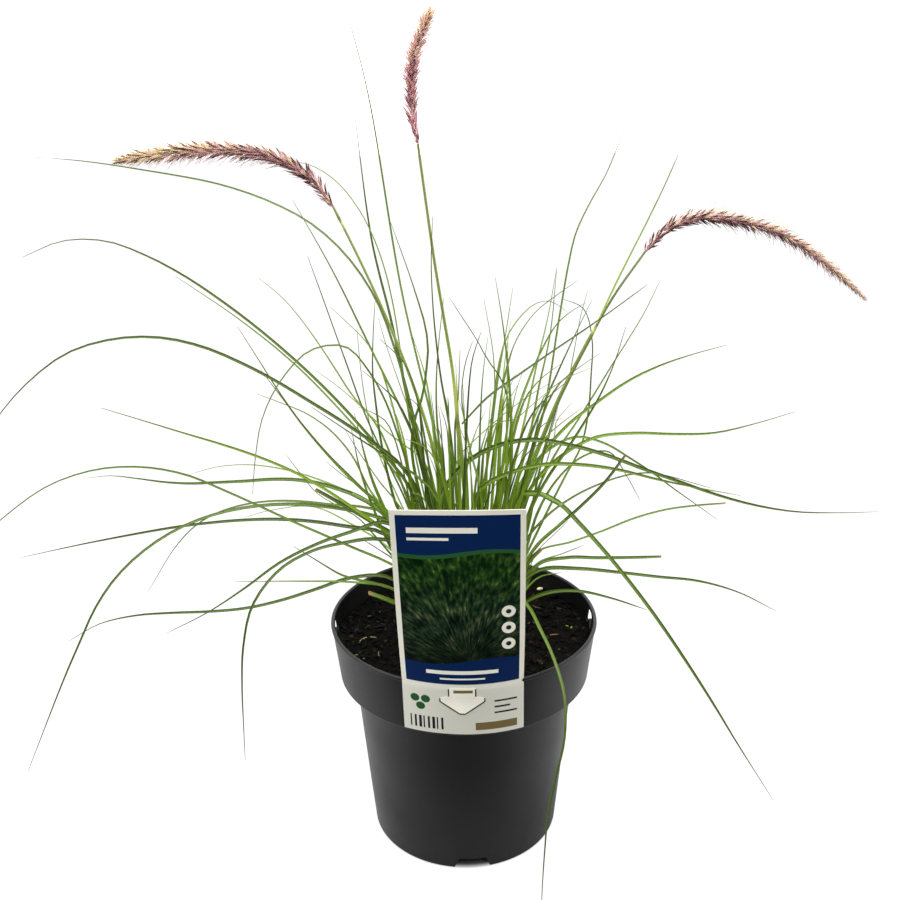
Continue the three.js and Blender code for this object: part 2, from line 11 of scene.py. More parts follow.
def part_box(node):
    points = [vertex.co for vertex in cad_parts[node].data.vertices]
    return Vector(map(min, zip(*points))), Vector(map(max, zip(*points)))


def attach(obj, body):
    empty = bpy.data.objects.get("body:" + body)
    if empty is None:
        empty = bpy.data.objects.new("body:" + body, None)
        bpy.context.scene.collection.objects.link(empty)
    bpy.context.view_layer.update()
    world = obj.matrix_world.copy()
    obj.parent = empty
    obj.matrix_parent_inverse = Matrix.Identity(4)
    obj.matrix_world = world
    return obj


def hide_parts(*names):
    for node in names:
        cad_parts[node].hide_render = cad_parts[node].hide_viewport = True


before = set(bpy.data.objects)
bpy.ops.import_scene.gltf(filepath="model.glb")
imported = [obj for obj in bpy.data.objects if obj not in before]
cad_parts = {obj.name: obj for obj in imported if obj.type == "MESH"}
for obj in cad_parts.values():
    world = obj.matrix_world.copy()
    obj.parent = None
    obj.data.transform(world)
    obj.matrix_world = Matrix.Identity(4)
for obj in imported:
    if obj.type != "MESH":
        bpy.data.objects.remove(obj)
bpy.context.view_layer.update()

MM = 0.001
ORIGIN = (0, 0, 0)
SEED = 4
chance = random.Random(SEED)
noise.seed_set(SEED)

# Pot, read from the frame where it says
pot_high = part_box("nursery_pot")[1]
LIP_RADIUS = pot_high.x
POT_HEIGHT = pot_high.z
COLLAR_FOOT_HEIGHT = POT_HEIGHT - 44 * MM
COLLAR_FOOT_RADIUS = 94.5 * MM
WALL_TOP_RADIUS = 83.5 * MM
BASE_RADIUS = 72 * MM
WALL = 1.2 * MM
BEAD_RADIUS = 1.4 * MM
EDGE_RADIUS = 1.6 * MM
EDGE_STEPS = 4
BEAD_STEPS = 12
COLLAR_HOLLOW = 0.4 * MM
POT_SIDES = 192
NEAR_AXIS = 2 * MM  # the radius at which a round outline starts and ends
DISC_RADIUS = 28 * MM
HEEL_INNER_RADIUS = 63 * MM
FLOOR_RISE = 3.5 * MM
RISE_RUN = 2.5 * MM
TUNNELS = 4
TUNNEL_TURN = -86
TUNNEL_FOOT_WIDTH = 28 * MM
TUNNEL_TOP_WIDTH = 20 * MM
TUNNEL_HEIGHT = 9 * MM
TUNNEL_INNER_RADIUS = 46 * MM
DRAIN_HOLES = 8
DRAIN_HOLE_RADIUS = 4 * MM
DRAIN_HOLE_SIDES = 24
SLOT_TURNS = (4.5, 181.5)
SLOT_WIDTH = 18 * MM
SLOT_HEIGHT = 12 * MM
SLOT_MIDDLE_HEIGHT = 167 * MM

# Soil and crown
SOIL_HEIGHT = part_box("potting_mix")[1].z
SOIL_FOOT = 12 * MM
SOIL_GAP = 0.4 * MM
SOIL_SIDES = 160
SOIL_RINGS = 40
# The soil's hollows, its lumps and its mean level under its plain height, in millimetres
BROAD_RISE = 1.8
LUMP_RISE = 1.6
SOIL_SINK = 0.6
# Bark chips: how many, their sizes in millimetres and their tilt in radians
CHIPS = 2600
CHIP_SIZES = (2.5, 8.5)
CHIP_TILT = 0.35
CHIP_LIFT = 0.14  # the most that a chip lies above the soil, as a share of its size
DARK_CHIPS = 1.6  # the power that makes dark chips commoner than pale ones
crown_low, crown_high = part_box("crown")
CROWN_MIDDLE = (crown_low + crown_high) / 2
CROWN_HALF_LENGTH = (crown_high.x - crown_low.x) / 2
CROWN_HALF_DEPTH = (crown_high.y - crown_low.y) / 2
CROWN_RISE = crown_high.z - crown_low.z

# Label card
CARD_WIDTH = 84 * MM
CARD_LENGTH = 177.5 * MM
CARD_FOOT_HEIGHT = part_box("plant_label")[0].z
CARD_THICKNESS = 0.5 * MM
CARD_CELLS = (48, 104)
CARD_LEAN = 7.3
CARD_TURN = -0.7
CARD_DRIFT = -0.0155
CARD_TOP_RADIUS = 800 * MM
CARD_STAND_OFF = 1.0 * MM
CARD_SWELL = 0.35 * MM  # how far its back lies out from the plain curve, except at the crease
CARD_WAVE = 0.25 * MM
CREASE_HEIGHT = 41.5 * MM
CREASE_HALF_WIDTH = 2 * MM
NICK_DEPTH = 0.022  # the nick beside the crease, as a share of the card's width

# Die-cut arrow on the card: its shaft, its head, and the curl of its tip, from the card's foot
SHAFT_WIDTH = 17 * MM
SHAFT_LENGTH = 7 * MM
SHAFT_FOOT = 33 * MM
HEAD_WIDTH = 29 * MM
SHOULDER_DROP = 1.2 * MM
HEAD_DROP = 2.8 * MM
POINT_DROP = 9.5 * MM
POINT_SHARE = 0.12
ARROW_THICKNESS = 0.3 * MM
ARROW_SHIFT = -0.5 * MM
# How much larger than the arrow the dark sheet is that paints the shadow in the cut round it
SLIT_MARGIN = 0.9 * MM
TONGUE_CURL = 0.9 * MM
CURL_START = 31 * MM
CURL_RUN = 13 * MM

# Camera, fitted to the pot's rounds in the photograph
CAMERA_PLACE = Vector((-1.4, -705.4, 562.6)) * MM
CAMERA_YAW = -0.596
CAMERA_PITCH = 19.891
CAMERA_ROLL = -0.724
CAMERA_LENS = 42
SENSOR_WIDTH = 36

# Light: how bright the surround is at the camera's side, at the back and above
FRONT_LEVEL = 0.03
BACK_LEVEL = 1.8
TOP_LEVEL = 0.1
# Floor: its bounce behind and in front of the pot, what the camera sees of it, and its glow
FLOOR_NEAR = 0.5
FLOOR_FAR = 0.05
FLOOR_DIMS = (-95 * MM, -215 * MM)
FLOOR_SEEN = 0.06
FLOOR_GLOW = 0.975
# Where the glow starts and where it is full, out from the pot's axis: inside, the floor is in painted shade
GLOW_START = 66.5 * MM
GLOW_FULL = 72.5 * MM
LAMP_TARGET = (0, 0, 0.25)
# Lamps: place, size and watts
LAMPS = {
    "softbox_left": ((-1.5, -0.35, 0.9), (1.2, 1.6), 20),
    "softbox_right": ((1.5, 0.1, 0.7), (0.9, 1.4), 10),
    "softbox_above": ((-0.2, 0.2, 1.9), (1.2, 1.2), 26),
    "softbox_front": ((0.3, -1.7, 1.9), (1.2, 0.8), 46),
}


# Modelling helpers


def make_active(piece):
    bpy.ops.object.select_all(action="DESELECT")
    piece.select_set(True)
    bpy.context.view_layer.objects.active = piece


def rename(piece, name):
    piece.name = name
    piece.data.name = name


def add_piece(kind, name, **settings):
    """Adds a primitive with everything else deselected, names it and applies its place."""
    bpy.ops.object.select_all(action="DESELECT")
    getattr(bpy.ops.mesh, f"primitive_{kind}_add")(**settings)
    piece = bpy.context.active_object
    rename(piece, name)
    bpy.ops.object.transform_apply(location=True, rotation=True, scale=True)
    return piece


def open_edit(piece):
    """Enters edit mode with every vertex picked."""
    make_active(piece)
    bpy.ops.object.mode_set(mode="EDIT")
    bpy.ops.mesh.select_mode(type="VERT")
    bpy.ops.mesh.select_all(action="SELECT")


def close_edit():
    bpy.ops.object.mode_set(mode="OBJECT")


def pick(piece, test):
    """In edit mode, selects exactly the vertices whose place passes the test."""
    bpy.ops.mesh.select_all(action="DESELECT")
    cage = bmesh.from_edit_mesh(piece.data)
    for corner in cage.verts:
        corner.select_set(test(corner.co))
    cage.select_flush(True)
    bmesh.update_edit_mesh(piece.data)


def resize(sizes, centre=None):
    """Resizes what is picked, about its own middle unless a centre is given."""
    about = {"center_override": centre} if centre else {}
    bpy.ops.transform.resize(value=sizes, **about)


def shift(x, y, z):
    bpy.ops.transform.translate(value=(x, y, z))


def resize_whole(piece, sizes, centre=None):
    open_edit(piece)
    resize(sizes, centre)
    close_edit()


def apply_modifier(piece, kind, **settings):
    make_active(piece)
    modifier = piece.modifiers.new(kind.title(), kind)
    for key, value in settings.items():
        setattr(modifier, key, value)
    bpy.ops.object.modifier_apply(modifier=modifier.name)


def combine(piece, operation, other):
    apply_modifier(piece, "BOOLEAN", operation=operation, solver="MANIFOLD", object=other)


def clean_normals(piece):
    open_edit(piece)
    bpy.ops.mesh.remove_doubles(threshold=1e-7)
    bpy.ops.mesh.normals_make_consistent(inside=False)
    close_edit()


def smooth(piece, degrees=60):
    make_active(piece)
    bpy.ops.object.shade_smooth_by_angle(angle=math.radians(degrees))


def copy_of(master, name):
    """A copy of a master piece with its own mesh."""
    piece = bpy.data.objects.new(name, master.data.copy())
    bpy.context.scene.collection.objects.link(piece)
    return piece


def join_all(pieces, name):
    make_active(pieces[0])
    for piece in pieces:
        piece.select_set(True)
    bpy.ops.object.join()
    rename(pieces[0], name)
    return pieces[0]


def paint(piece, name, value):
    """Writes one number to the whole piece, as an attribute that its material reads."""
    layer = piece.data.attributes.get(name) or piece.data.attributes.new(name, "FLOAT", "POINT")
    layer.data.foreach_set("value", [value] * len(piece.data.vertices))


def reshape(piece, move):
    """Moves every vertex to where the function says."""
    for corner in piece.data.vertices:
        corner.co = move(corner.co)
    piece.data.update()


def rotation(degrees, axis="Z"):
    return Matrix.Rotation(math.radians(degrees), 4, axis)


def rise(value, start, run):
    """0 up to the start, then evenly up to 1 over the run, which may go down."""
    return min(1.0, max(0.0, (value - start) / run))


def between(pair, share):
    return pair[0] + (pair[1] - pair[0]) * share


def finish(piece, materials, slot, *stands_for):
    """Gives a finished piece its materials and its body, and hides the nodes that it replaces. The slot is not
    used.
    """
    piece.data.materials.clear()
    for material in materials if isinstance(materials, tuple) else (materials,):
        piece.data.materials.append(material)
    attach(piece, "root")
    if stands_for:
        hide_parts(*stands_for)
    return piece


def drop(*pieces):
    for piece in pieces:
        bpy.data.objects.remove(piece, do_unlink=True)


# Material helpers. A node goes into the tree of the socket that it is given.


def feed(socket, value):
    """Links an input or sets its value. A colour gets its alpha."""
    if isinstance(value, bpy.types.NodeSocket):
        socket.id_data.links.new(value, socket)
    elif socket.type == "RGBA":
        socket.default_value = (*value, 1)
    else:
        socket.default_value = value


def add_node(tree, kind, inputs=None, **settings):
    """Adds a node, with its settings, and with a value or a link for each input by name or number."""
    node = tree.nodes.new(kind)
    for key, value in settings.items():
        setattr(node, key, value)
    for key, value in (inputs or {}).items():
        feed(node.inputs[key], value)
    return node


def tree_of(*values):
    return next(value.id_data for value in values if isinstance(value, bpy.types.NodeSocket))


def maths(operation, *values, clamp=False):
    return add_node(tree_of(*values), "ShaderNodeMath", dict(enumerate(values)), operation=operation,
                    use_clamp=clamp).outputs[0]


def plus(first, second):
    return maths("ADD", first, second)


def minus(first, second, clamp=False):
    return maths("SUBTRACT", first, second, clamp=clamp)


def times(first, second, clamp=False):
    return maths("MULTIPLY", first, second, clamp=clamp)


def length_of(first, second):
    return maths("SQRT", plus(times(first, first), times(second, second)))


def mix_colours(share, first, second, blend="MIX"):
    inputs = {0: share, 6: first, 7: second}
    return add_node(tree_of(share, first, second), "ShaderNodeMix", inputs, data_type="RGBA",
                    blend_type=blend).outputs[2]


def tinted(colour, tint):
    return mix_colours(1.0, colour, tint, "MULTIPLY")


def layered(colour, *layers):
    """A colour with others laid over it in turn, each given as its mask and its colour."""
    for mask, above in layers:
        colour = mix_colours(mask, colour, above)
    return colour


def remap(value, low, high, to_low=0.0, to_high=1.0):
    inputs = {"Value": value, "From Min": low, "From Max": high, "To Min": to_low, "To Max": to_high}
    return add_node(tree_of(value), "ShaderNodeMapRange", inputs).outputs["Result"]


def ramp(value, stops):
    """A colour ramp through stops of (place, colour)."""
    node = add_node(tree_of(value), "ShaderNodeValToRGB", {"Fac": value})
    elements = node.color_ramp.elements
    for place, colour in stops[1:-1]:
        elements.new(place).color = (*colour, 1)
    for element, (place, colour) in ((elements[0], stops[0]), (elements[-1], stops[-1])):
        element.position = place
        element.color = (*colour, 1)
    return node.outputs["Color"]


def axes_of(vector):
    return add_node(tree_of(vector), "ShaderNodeSeparateXYZ", {0: vector}).outputs


def point_of(*values):
    return add_node(tree_of(*values), "ShaderNodeCombineXYZ", dict(enumerate(values))).outputs[0]


def grey_of(value):
    return add_node(tree_of(value), "ShaderNodeCombineColor", {0: value, 1: value, 2: value}).outputs[0]


def clouds_at(place, scale, detail):
    inputs = {"Vector": place, "Scale": scale, "Detail": detail}
    return add_node(tree_of(place), "ShaderNodeTexNoise", inputs).outputs[0]


def attribute(tree, name):
    return add_node(tree, "ShaderNodeAttribute", attribute_name=name).outputs["Fac"]


def own_map(tree):
    return add_node(tree, "ShaderNodeUVMap", uv_map="UVMap").outputs[0]


def own_place(tree):
    return add_node(tree, "ShaderNodeTexCoord").outputs["Object"]


def new_group(name, inputs, outputs):
    """A node group. An input is a number, or a vector where its default is None. Outputs are numbers."""
    tree = bpy.data.node_groups.new(name, "ShaderNodeTree")
    for label, value in inputs.items():
        kind = "NodeSocketVector" if value is None else "NodeSocketFloat"
        socket = tree.interface.new_socket(label, in_out="INPUT", socket_type=kind)
        if value is not None:
            socket.default_value = value
    for label in outputs:
        tree.interface.new_socket(label, in_out="OUTPUT", socket_type="NodeSocketFloat")
    return tree, add_node(tree, "NodeGroupInput").outputs, add_node(tree, "NodeGroupOutput").inputs


def use_group(tree, group, inputs):
    return add_node(tree, "ShaderNodeGroup", inputs, node_tree=group).outputs


def fibre_group():
    """Long streaks that run along a piece, as the veins of a grass blade do."""
    inputs = {"Map": None, "Across": 14.0, "Along": 3.0, "Seed": 0.0}
    tree, given, wanted = new_group("long_fibres", inputs, ["Streak", "Vein"])
    parts = axes_of(given["Map"])
    across = times(parts["X"], given["Across"])
    along = times(parts["Y"], given["Along"])
    streak = clouds_at(point_of(across, along, given["Seed"]), 1.0, 3.0)
    feed(wanted["Streak"], remap(streak, 0.3, 0.7))
    feed(wanted["Vein"], remap(maths("SINE", times(across, 2 * math.pi)), -1.0, 1.0))
    return tree


def mottling_group():
    """Fine and coarse mottling in space, for grain, dust and damp patches."""
    inputs = {"Place": None, "Fine Scale": 900.0, "Coarse Scale": 60.0, "Cover": 0.5}
    tree, given, wanted = new_group("mottling", inputs, ["Fine", "Coarse", "Specks"])
    fine = clouds_at(given["Place"], given["Fine Scale"], 4.0)
    coarse = clouds_at(given["Place"], given["Coarse Scale"], 5.0)
    edge = minus(1.0, given["Cover"])
    feed(wanted["Fine"], remap(fine, 0.3, 0.7))
    feed(wanted["Coarse"], remap(coarse, 0.3, 0.7))
    feed(wanted["Specks"], times(minus(fine, edge), 12.0, clamp=True))
    return tree


# How soft the edges of the label's print are, in millimetres to each side
BLOCK_BLUR = 0.05
DOT_BLUR = 0.06


def block_group():
    """A print block: 1 inside a rectangle given in millimetres, with slightly soft edges."""
    inputs = dict.fromkeys(("Across", "Along", "Left", "Right", "Bottom", "Top"), 0.0)
    tree, given, wanted = new_group("print_block", inputs, ["Inside"])
    gaps = [minus(given["Across"], given["Left"]), minus(given["Right"], given["Across"]),
            minus(given["Along"], given["Bottom"]), minus(given["Top"], given["Along"])]
    nearest = maths("MINIMUM", maths("MINIMUM", *gaps[:2]), maths("MINIMUM", *gaps[2:]))
    feed(wanted["Inside"], remap(nearest, -BLOCK_BLUR, BLOCK_BLUR))
    return tree


FIBRES = fibre_group()
MOTTLING = mottling_group()
PRINT_BLOCK = block_group()


def fibres_on(tree, across, along):
    inputs = {"Map": own_map(tree), "Across": across, "Along": along, "Seed": attribute(tree, "tone")}
    return use_group(tree, FIBRES, inputs)


def mottling_on(tree, fine, coarse, cover=0.5):
    inputs = {"Place": own_place(tree), "Fine Scale": fine, "Coarse Scale": coarse, "Cover": cover}
    return use_group(tree, MOTTLING, inputs)


def new_material(name, roughness=0.5, specular=0.5):
    material = bpy.data.materials.new(name)
    material.use_nodes = True
    shader = material.node_tree.nodes["Principled BSDF"]
    feed(shader.inputs["Roughness"], roughness)
    feed(shader.inputs["Specular IOR Level"], specular)
    return material, material.node_tree, shader


def set_looks(shader, colour, height, strength, distance, roughness=None):
    """Wires a shader: its colour, its bump from a height, and where it varies its roughness."""
    feed(shader.inputs["Base Color"], colour)
    inputs = {"Height": height, "Strength": strength, "Distance": distance}
    feed(shader.inputs["Normal"], add_node(tree_of(height), "ShaderNodeBump", inputs).outputs[0])
    if roughness:
        feed(shader.inputs["Roughness"], roughness)


# Finishes


# The darker tint of a blade's streaks, and of the half beyond its fold, which is painted shade
LEAF_SHADE = (0.6, 0.66, 0.5)
MIDRIB_GREEN = (0.36, 0.43, 0.14)
DRY_BROWN = (0.34, 0.2, 0.07)
STEM_SHADE = (0.7, 0.76, 0.6)
PALE_GREEN = (0.52, 0.58, 0.14)
PLASTIC_BLACKS = ((0.0012, 0.0013, 0.0014), (0.0022, 0.0022, 0.0022))
DUST_GREY = (0.11, 0.1, 0.085)
SOIL_BROWNS = ((0.0008, 0.0008, 0.0006), (0.003, 0.0025, 0.0016))
SOIL_SPECK = (0.009, 0.0075, 0.004)
MOSS_GREEN = (0.008, 0.013, 0.003)
CARD_CREAM = (0.85, 0.83, 0.71)
# The cream of the card's foot below the crease, darkened as painted shade
CARD_FOOT_PAINTED_SHADE = (0.66, 0.65, 0.57)
CARD_WORN = (0.8, 0.79, 0.74)
CARD_NAVY = (0.003, 0.017, 0.08)
CARD_TAN = (0.17, 0.125, 0.05)
CARD_INK = (0.02, 0.022, 0.024)
CARD_LEAF_GREEN = (0.02, 0.09, 0.025)


def leaf_material(name, young, aged):
    """Grass blade: colour from base to tip between a young and an aged green; the aged one also paints shade.
    """
    material, tree, shader = new_material(name, 0.5, 0.3)
    parts = axes_of(own_map(tree))
    fibres = fibres_on(tree, 9.0, 5.0)
    streak = fibres["Streak"]
    # Darker tones take more of the aged green, which also paints the shade among the blades
    colour = mix_colours(attribute(tree, "tone"), ramp(parts["Y"], aged), ramp(parts["Y"], young))
    darker = tinted(colour, LEAF_SHADE)
    off_middle = maths("ABSOLUTE", minus(parts["X"], 0.5))
    dry = minus(1.0, maths("DIVIDE", minus(1.0, parts["Y"]), attribute(tree, "dry")), clamp=True)
    ragged = times(dry, remap(streak, 0.0, 1.0, 1.0, 2.2), clamp=True)
    colour = layered(
        colour,
        (times(streak, 0.8), darker),  # streaks
        (remap(parts["X"], 0.46, 0.54, 0.0, 0.55), darker),  # painted shade: the half beyond the fold is darker
        (remap(off_middle, 0.03, 0.09, 0.45, 0.0), MIDRIB_GREEN),
        (ragged, DRY_BROWN),
    )
    set_looks(shader, colour, fibres["Vein"], 0.35, 0.0001, remap(streak, 0.0, 1.0, 0.36, 0.52))
    return material


def stem_material(name, stops, knot_colour):
    """Culms and sheaths: smooth stems with fine fibres, paler or darker at their joints."""
    material, tree, shader = new_material(name, 0.5, 0.3)
    parts = axes_of(own_map(tree))
    streak = fibres_on(tree, 12.0, 4.0)["Streak"]
    shade = remap(attribute(tree, "tone"), 0.0, 1.0, 0.55, 1.1)
    colour = tinted(ramp(parts["Y"], stops), grey_of(shade))
    colour = layered(
        colour,
        (times(streak, 0.7), tinted(colour, STEM_SHADE)),
        (attribute(tree, "pale"), PALE_GREEN),
        (attribute(tree, "knot"), knot_colour),
    )
    set_looks(shader, colour, streak, 0.3, 0.0001, remap(streak, 0.0, 1.0, 0.34, 0.5))
    return material


def tone_material(name, roughness, grain, grain_scale, *stops):
    """Small bits: the colour follows each bit's own tone, with a fine mottling over it."""
    material, tree, shader = new_material(name, roughness, 0.08)
    fine = mottling_on(tree, grain_scale, grain_scale / 8)["Fine"]
    varied = plus(attribute(tree, "tone"), times(minus(fine, 0.5), grain))
    set_looks(shader, ramp(varied, stops), fine, 0.5, 0.0003)
    return material


def pot_material():
    """Satin black moulded plastic with light scuffs, and a little soil dust low on the wall."""
    material, tree, shader = new_material("pot_plastic_black", 0.4, 0.28)
    mottling = mottling_on(tree, 700.0, 18.0, 0.27)
    low = remap(axes_of(own_place(tree))["Z"], 0.0, 0.03, 0.5, 0.08)
    base = mix_colours(mottling["Coarse"], *PLASTIC_BLACKS)
    colour = layered(base, (times(mottling["Specks"], low), DUST_GREY))
    shine = plus(remap(mottling["Coarse"], 0.0, 1.0, 0.36, 0.46), times(mottling["Fine"], 0.05))
    set_looks(shader, colour, mottling["Fine"], 0.12, 0.0002, shine)
    return material


def soil_material():
    """Damp dark bark mix, with brown specks and a little moss."""
    material, tree, shader = new_material("bark_mix_dark", 0.95, 0.06)
    mottling = mottling_on(tree, 420.0, 90.0, 0.33)
    moss = remap(clouds_at(own_place(tree), 38.0, 3.0), 0.56, 0.68, 0.0, 0.6)
    base = mix_colours(mottling["Coarse"], *SOIL_BROWNS)
    colour = layered(base, (mottling["Specks"], SOIL_SPECK), (moss, MOSS_GREEN))
    set_looks(shader, colour, mottling["Fine"], 1.0, 0.002)
    return material


# The label's print, in millimetres across from the card's middle line and along from its foot.
# Its picture and its bands end this far out.
PRINT_EDGE = 38.5
PICTURE = (-PRINT_EDGE, PRINT_EDGE, 58.0, 156.0)
# Bands: bottom, top, whether they sway, and ink
BANDS = (
    (144.0, 147.0, True, CARD_LEAF_GREEN), (147.0, 170.0, True, CARD_NAVY),
    (165.0, 174.0, False, CARD_NAVY), (48.0, 62.0, True, CARD_NAVY), (43.0, 54.0, False, CARD_NAVY),
)
# Bars: left, right, bottom, top and ink
BARS = (
    (-32.0, 12.0, 161.0, 165.0, CARD_CREAM), (-32.0, -6.0, 155.7, 157.7, CARD_CREAM),
    (-24.0, 24.0, 51.5, 54.5, CARD_CREAM), (-15.0, 15.0, 47.0, 48.3, CARD_CREAM),
    (8.0, 37.0, 3.5, 10.0, CARD_TAN), (21.0, 37.0, 17.0, 18.5, CARD_INK),
    (21.0, 32.0, 22.0, 23.5, CARD_INK), (21.0, 37.0, 27.0, 28.5, CARD_INK),
)
# Stripes, side by side at the card's foot
STRIPES = 8
STRIPES_LEFT = -37.0
STRIPE_STEP = 3.1
STRIPE_WIDTHS = (1.0, 1.5, 2.0)
STRIPE_ENDS = (3.5, 14.0)
# Dots: across, along, radius and ink
DOTS = [(31.0, height, radius, ink) for height in (75.0, 88.0, 101.0)
        for radius, ink in ((4.6, CARD_CREAM), (1.8, CARD_INK))]
DOTS += [(-33.0, 29.0, 3.2, CARD_LEAF_GREEN), (-25.5, 29.0, 3.2, CARD_LEAF_GREEN),
         (-29.2, 22.6, 3.2, CARD_LEAF_GREEN)]
# The arrow's bar: left, right, and its bottom and top above the ground
TONGUE_BAR = (-7.5, 5.5, 171.2, 173.6)
# The picture: where its strokes fan out from, and its colours where it is low and where it is high
FAN_FOOT = (4.0, 58.0)
LOW_MEADOW = [(0.0, (0.001, 0.003, 0.001)), (0.3, (0.006, 0.016, 0.008)), (0.55, (0.02, 0.046, 0.02)),
              (0.8, (0.08, 0.085, 0.04)), (1.0, (0.24, 0.2, 0.11))]
HIGH_MEADOW = [(0.0, (0.001, 0.005, 0.001)), (0.4, (0.005, 0.022, 0.005)), (0.7, (0.025, 0.07, 0.01)),
               (1.0, (0.13, 0.22, 0.04))]


def stripes():
    for index in range(STRIPES):
        left = STRIPES_LEFT + STRIPE_STEP * index
        yield left, left + STRIPE_WIDTHS[index % len(STRIPE_WIDTHS)], *STRIPE_ENDS, CARD_INK


def block_mask(across, along, left, right, bottom, top):
    inputs = {"Across": across, "Along": along, "Left": left, "Right": right, "Bottom": bottom, "Top": top}
    return use_group(tree_of(across), PRINT_BLOCK, inputs)["Inside"]


def dot_mask(across, along, middle_across, middle_along, radius):
    distance = length_of(minus(across, middle_across), minus(along, middle_along))
    return remap(distance, radius - DOT_BLUR, radius + DOT_BLUR, 1.0, 0.0)


def meadow_print(across, along):
    """The label's picture: soft strokes that fan out from low on the card, dark below and lime above."""
    from_middle = minus(across, FAN_FOOT[0])
    above_foot = minus(along, FAN_FOOT[1])
    angle = maths("ARCTAN2", from_middle, above_foot)
    distance = length_of(from_middle, above_foot)
    strokes = clouds_at(point_of(times(angle, 16.0), times(distance, 0.09)), 1.6, 6.0)
    clouds = clouds_at(point_of(across, along), 0.09, 5.0)
    mixed = plus(times(strokes, 0.62), times(clouds, 0.38))
    low = ramp(remap(mixed, 0.36, 0.68), LOW_MEADOW)
    high = ramp(remap(mixed, 0.34, 0.68), HIGH_MEADOW)
    height_share = remap(plus(along, times(clouds, 30.0)), 112.0, 146.0)
    return tinted(mix_colours(height_share, low, high), grey_of(remap(along, 60.0, 100.0, 0.25, 1.0)))


def card_material():
    """The label's print, drawn in millimetres from its foot and its middle line, over painted shade on its
    foot.
    """
    material, tree, shader = new_material("label_card_print", 0.42, 0.04)
    parts = axes_of(own_map(tree))
    half_width = CARD_WIDTH / 2 / MM
    across = remap(parts["X"], 0.0, 1.0, -half_width, half_width)
    along = times(parts["Y"], CARD_LENGTH / MM)
    swaying = minus(along, times(maths("SINE", times(across, 0.07)), 2.2))
    mottling = mottling_on(tree, 2500.0, 40.0)
    cream = mix_colours(mottling["Coarse"], CARD_CREAM, [part * 0.93 for part in CARD_CREAM])
    # Below the crease the card's foot is darker: painted shade
    layers = [(remap(along, 38.0, 44.0, 1.0, 0.0), CARD_FOOT_PAINTED_SHADE),
              (block_mask(across, along, *PICTURE), meadow_print(across, along))]
    for bottom, top, sways, ink in BANDS:
        height = swaying if sways else along
        layers.append((block_mask(across, height, -PRINT_EDGE, PRINT_EDGE, bottom, top), ink))
    layers += [(block_mask(across, along, *sides), ink) for *sides, ink in (*BARS, *stripes())]
    layers += [(dot_mask(across, along, *dot), ink) for *dot, ink in DOTS]
    crease = remap(maths("ABSOLUTE", minus(along, CREASE_HEIGHT / MM)), 0.0, 1.1, 0.55, 0.0)
    layers.append((times(crease, remap(mottling["Fine"], 0.25, 0.75)), CARD_WORN))
    shine = remap(mottling["Coarse"], 0.0, 1.0, 0.38, 0.5)
    set_looks(shader, layered(cream, *layers), mottling["Fine"], 0.05, 0.0001, shine)
    return material


def tongue_material():
    """The die-cut arrow: plain cream card with a short tan bar."""
    material, tree, shader = new_material("label_tongue_card", 0.4, 0.15)
    parts = axes_of(own_place(tree))
    mottling = mottling_on(tree, 2500.0, 60.0)
    bar = block_mask(maths("DIVIDE", parts["X"], MM), maths("DIVIDE", parts["Z"], MM), *TONGUE_BAR)
    cream = mix_colours(mottling["Coarse"], CARD_CREAM, [part * 1.1 for part in CARD_CREAM])
    set_looks(shader, layered(cream, (bar, CARD_TAN)), mottling["Fine"], 0.05, 0.0001)
    return material


LEAF_YOUNG = [(0.0, (0.46, 0.58, 0.04)), (0.12, (0.38, 0.54, 0.018)), (0.3, (0.31, 0.48, 0.018)),
              (0.65, (0.24, 0.39, 0.024)), (0.9, (0.25, 0.36, 0.04)), (1.0, (0.32, 0.36, 0.12))]
LEAF_AGED_AND_SHADED = [(0.0, (0.1, 0.15, 0.01)), (0.12, (0.04, 0.08, 0.006)), (0.3, (0.022, 0.052, 0.004)),
             (0.65, (0.03, 0.062, 0.005)), (0.9, (0.06, 0.095, 0.014)), (1.0, (0.17, 0.2, 0.08))]
SHEATH_STOPS = [(0.0, (0.34, 0.27, 0.14)), (0.08, (0.45, 0.47, 0.16)), (0.35, (0.33, 0.45, 0.07)),
                (0.8, (0.2, 0.33, 0.04)), (1.0, (0.16, 0.27, 0.04))]
CULM_STOPS = [(0.0, (0.16, 0.25, 0.04)), (0.35, (0.13, 0.23, 0.03)), (0.7, (0.26, 0.36, 0.06)),
              (1.0, (0.24, 0.28, 0.08))]
LEAF_GREEN = leaf_material("leaf_blade_green", LEAF_YOUNG, LEAF_AGED_AND_SHADED)
SHEATH_GREEN = stem_material("shoot_base_green", SHEATH_STOPS, (0.2, 0.14, 0.08))
CULM_GREEN = stem_material("culm_green", CULM_STOPS, (0.04, 0.035, 0.02))
# Small bits: roughness, how much their grain varies their tone, the grain's scale, and colours by tone
STRAW = tone_material(
    "dry_straw", 0.7, 0.4, 1500.0,
    (0.0, (0.12, 0.07, 0.035)), (0.5, (0.33, 0.22, 0.1)), (1.0, (0.52, 0.42, 0.23)))
SPIKELET = tone_material(
    "spikelet_mauve", 0.55, 0.3, 900.0,
    (0.0, (0.045, 0.018, 0.02)), (0.25, (0.14, 0.06, 0.06)), (0.5, (0.38, 0.19, 0.19)),
    (0.72, (0.74, 0.48, 0.46)), (0.86, (0.66, 0.5, 0.32)), (1.0, (0.72, 0.62, 0.32)))
SPIKELET_ROSE = tone_material(
    "spikelet_rose", 0.55, 0.3, 900.0,
    (0.0, (0.22, 0.07, 0.1)), (0.3, (0.72, 0.36, 0.43)), (0.6, (1.0, 0.72, 0.72)),
    (0.85, (1.0, 0.86, 0.66)), (1.0, (0.98, 0.88, 0.46)))
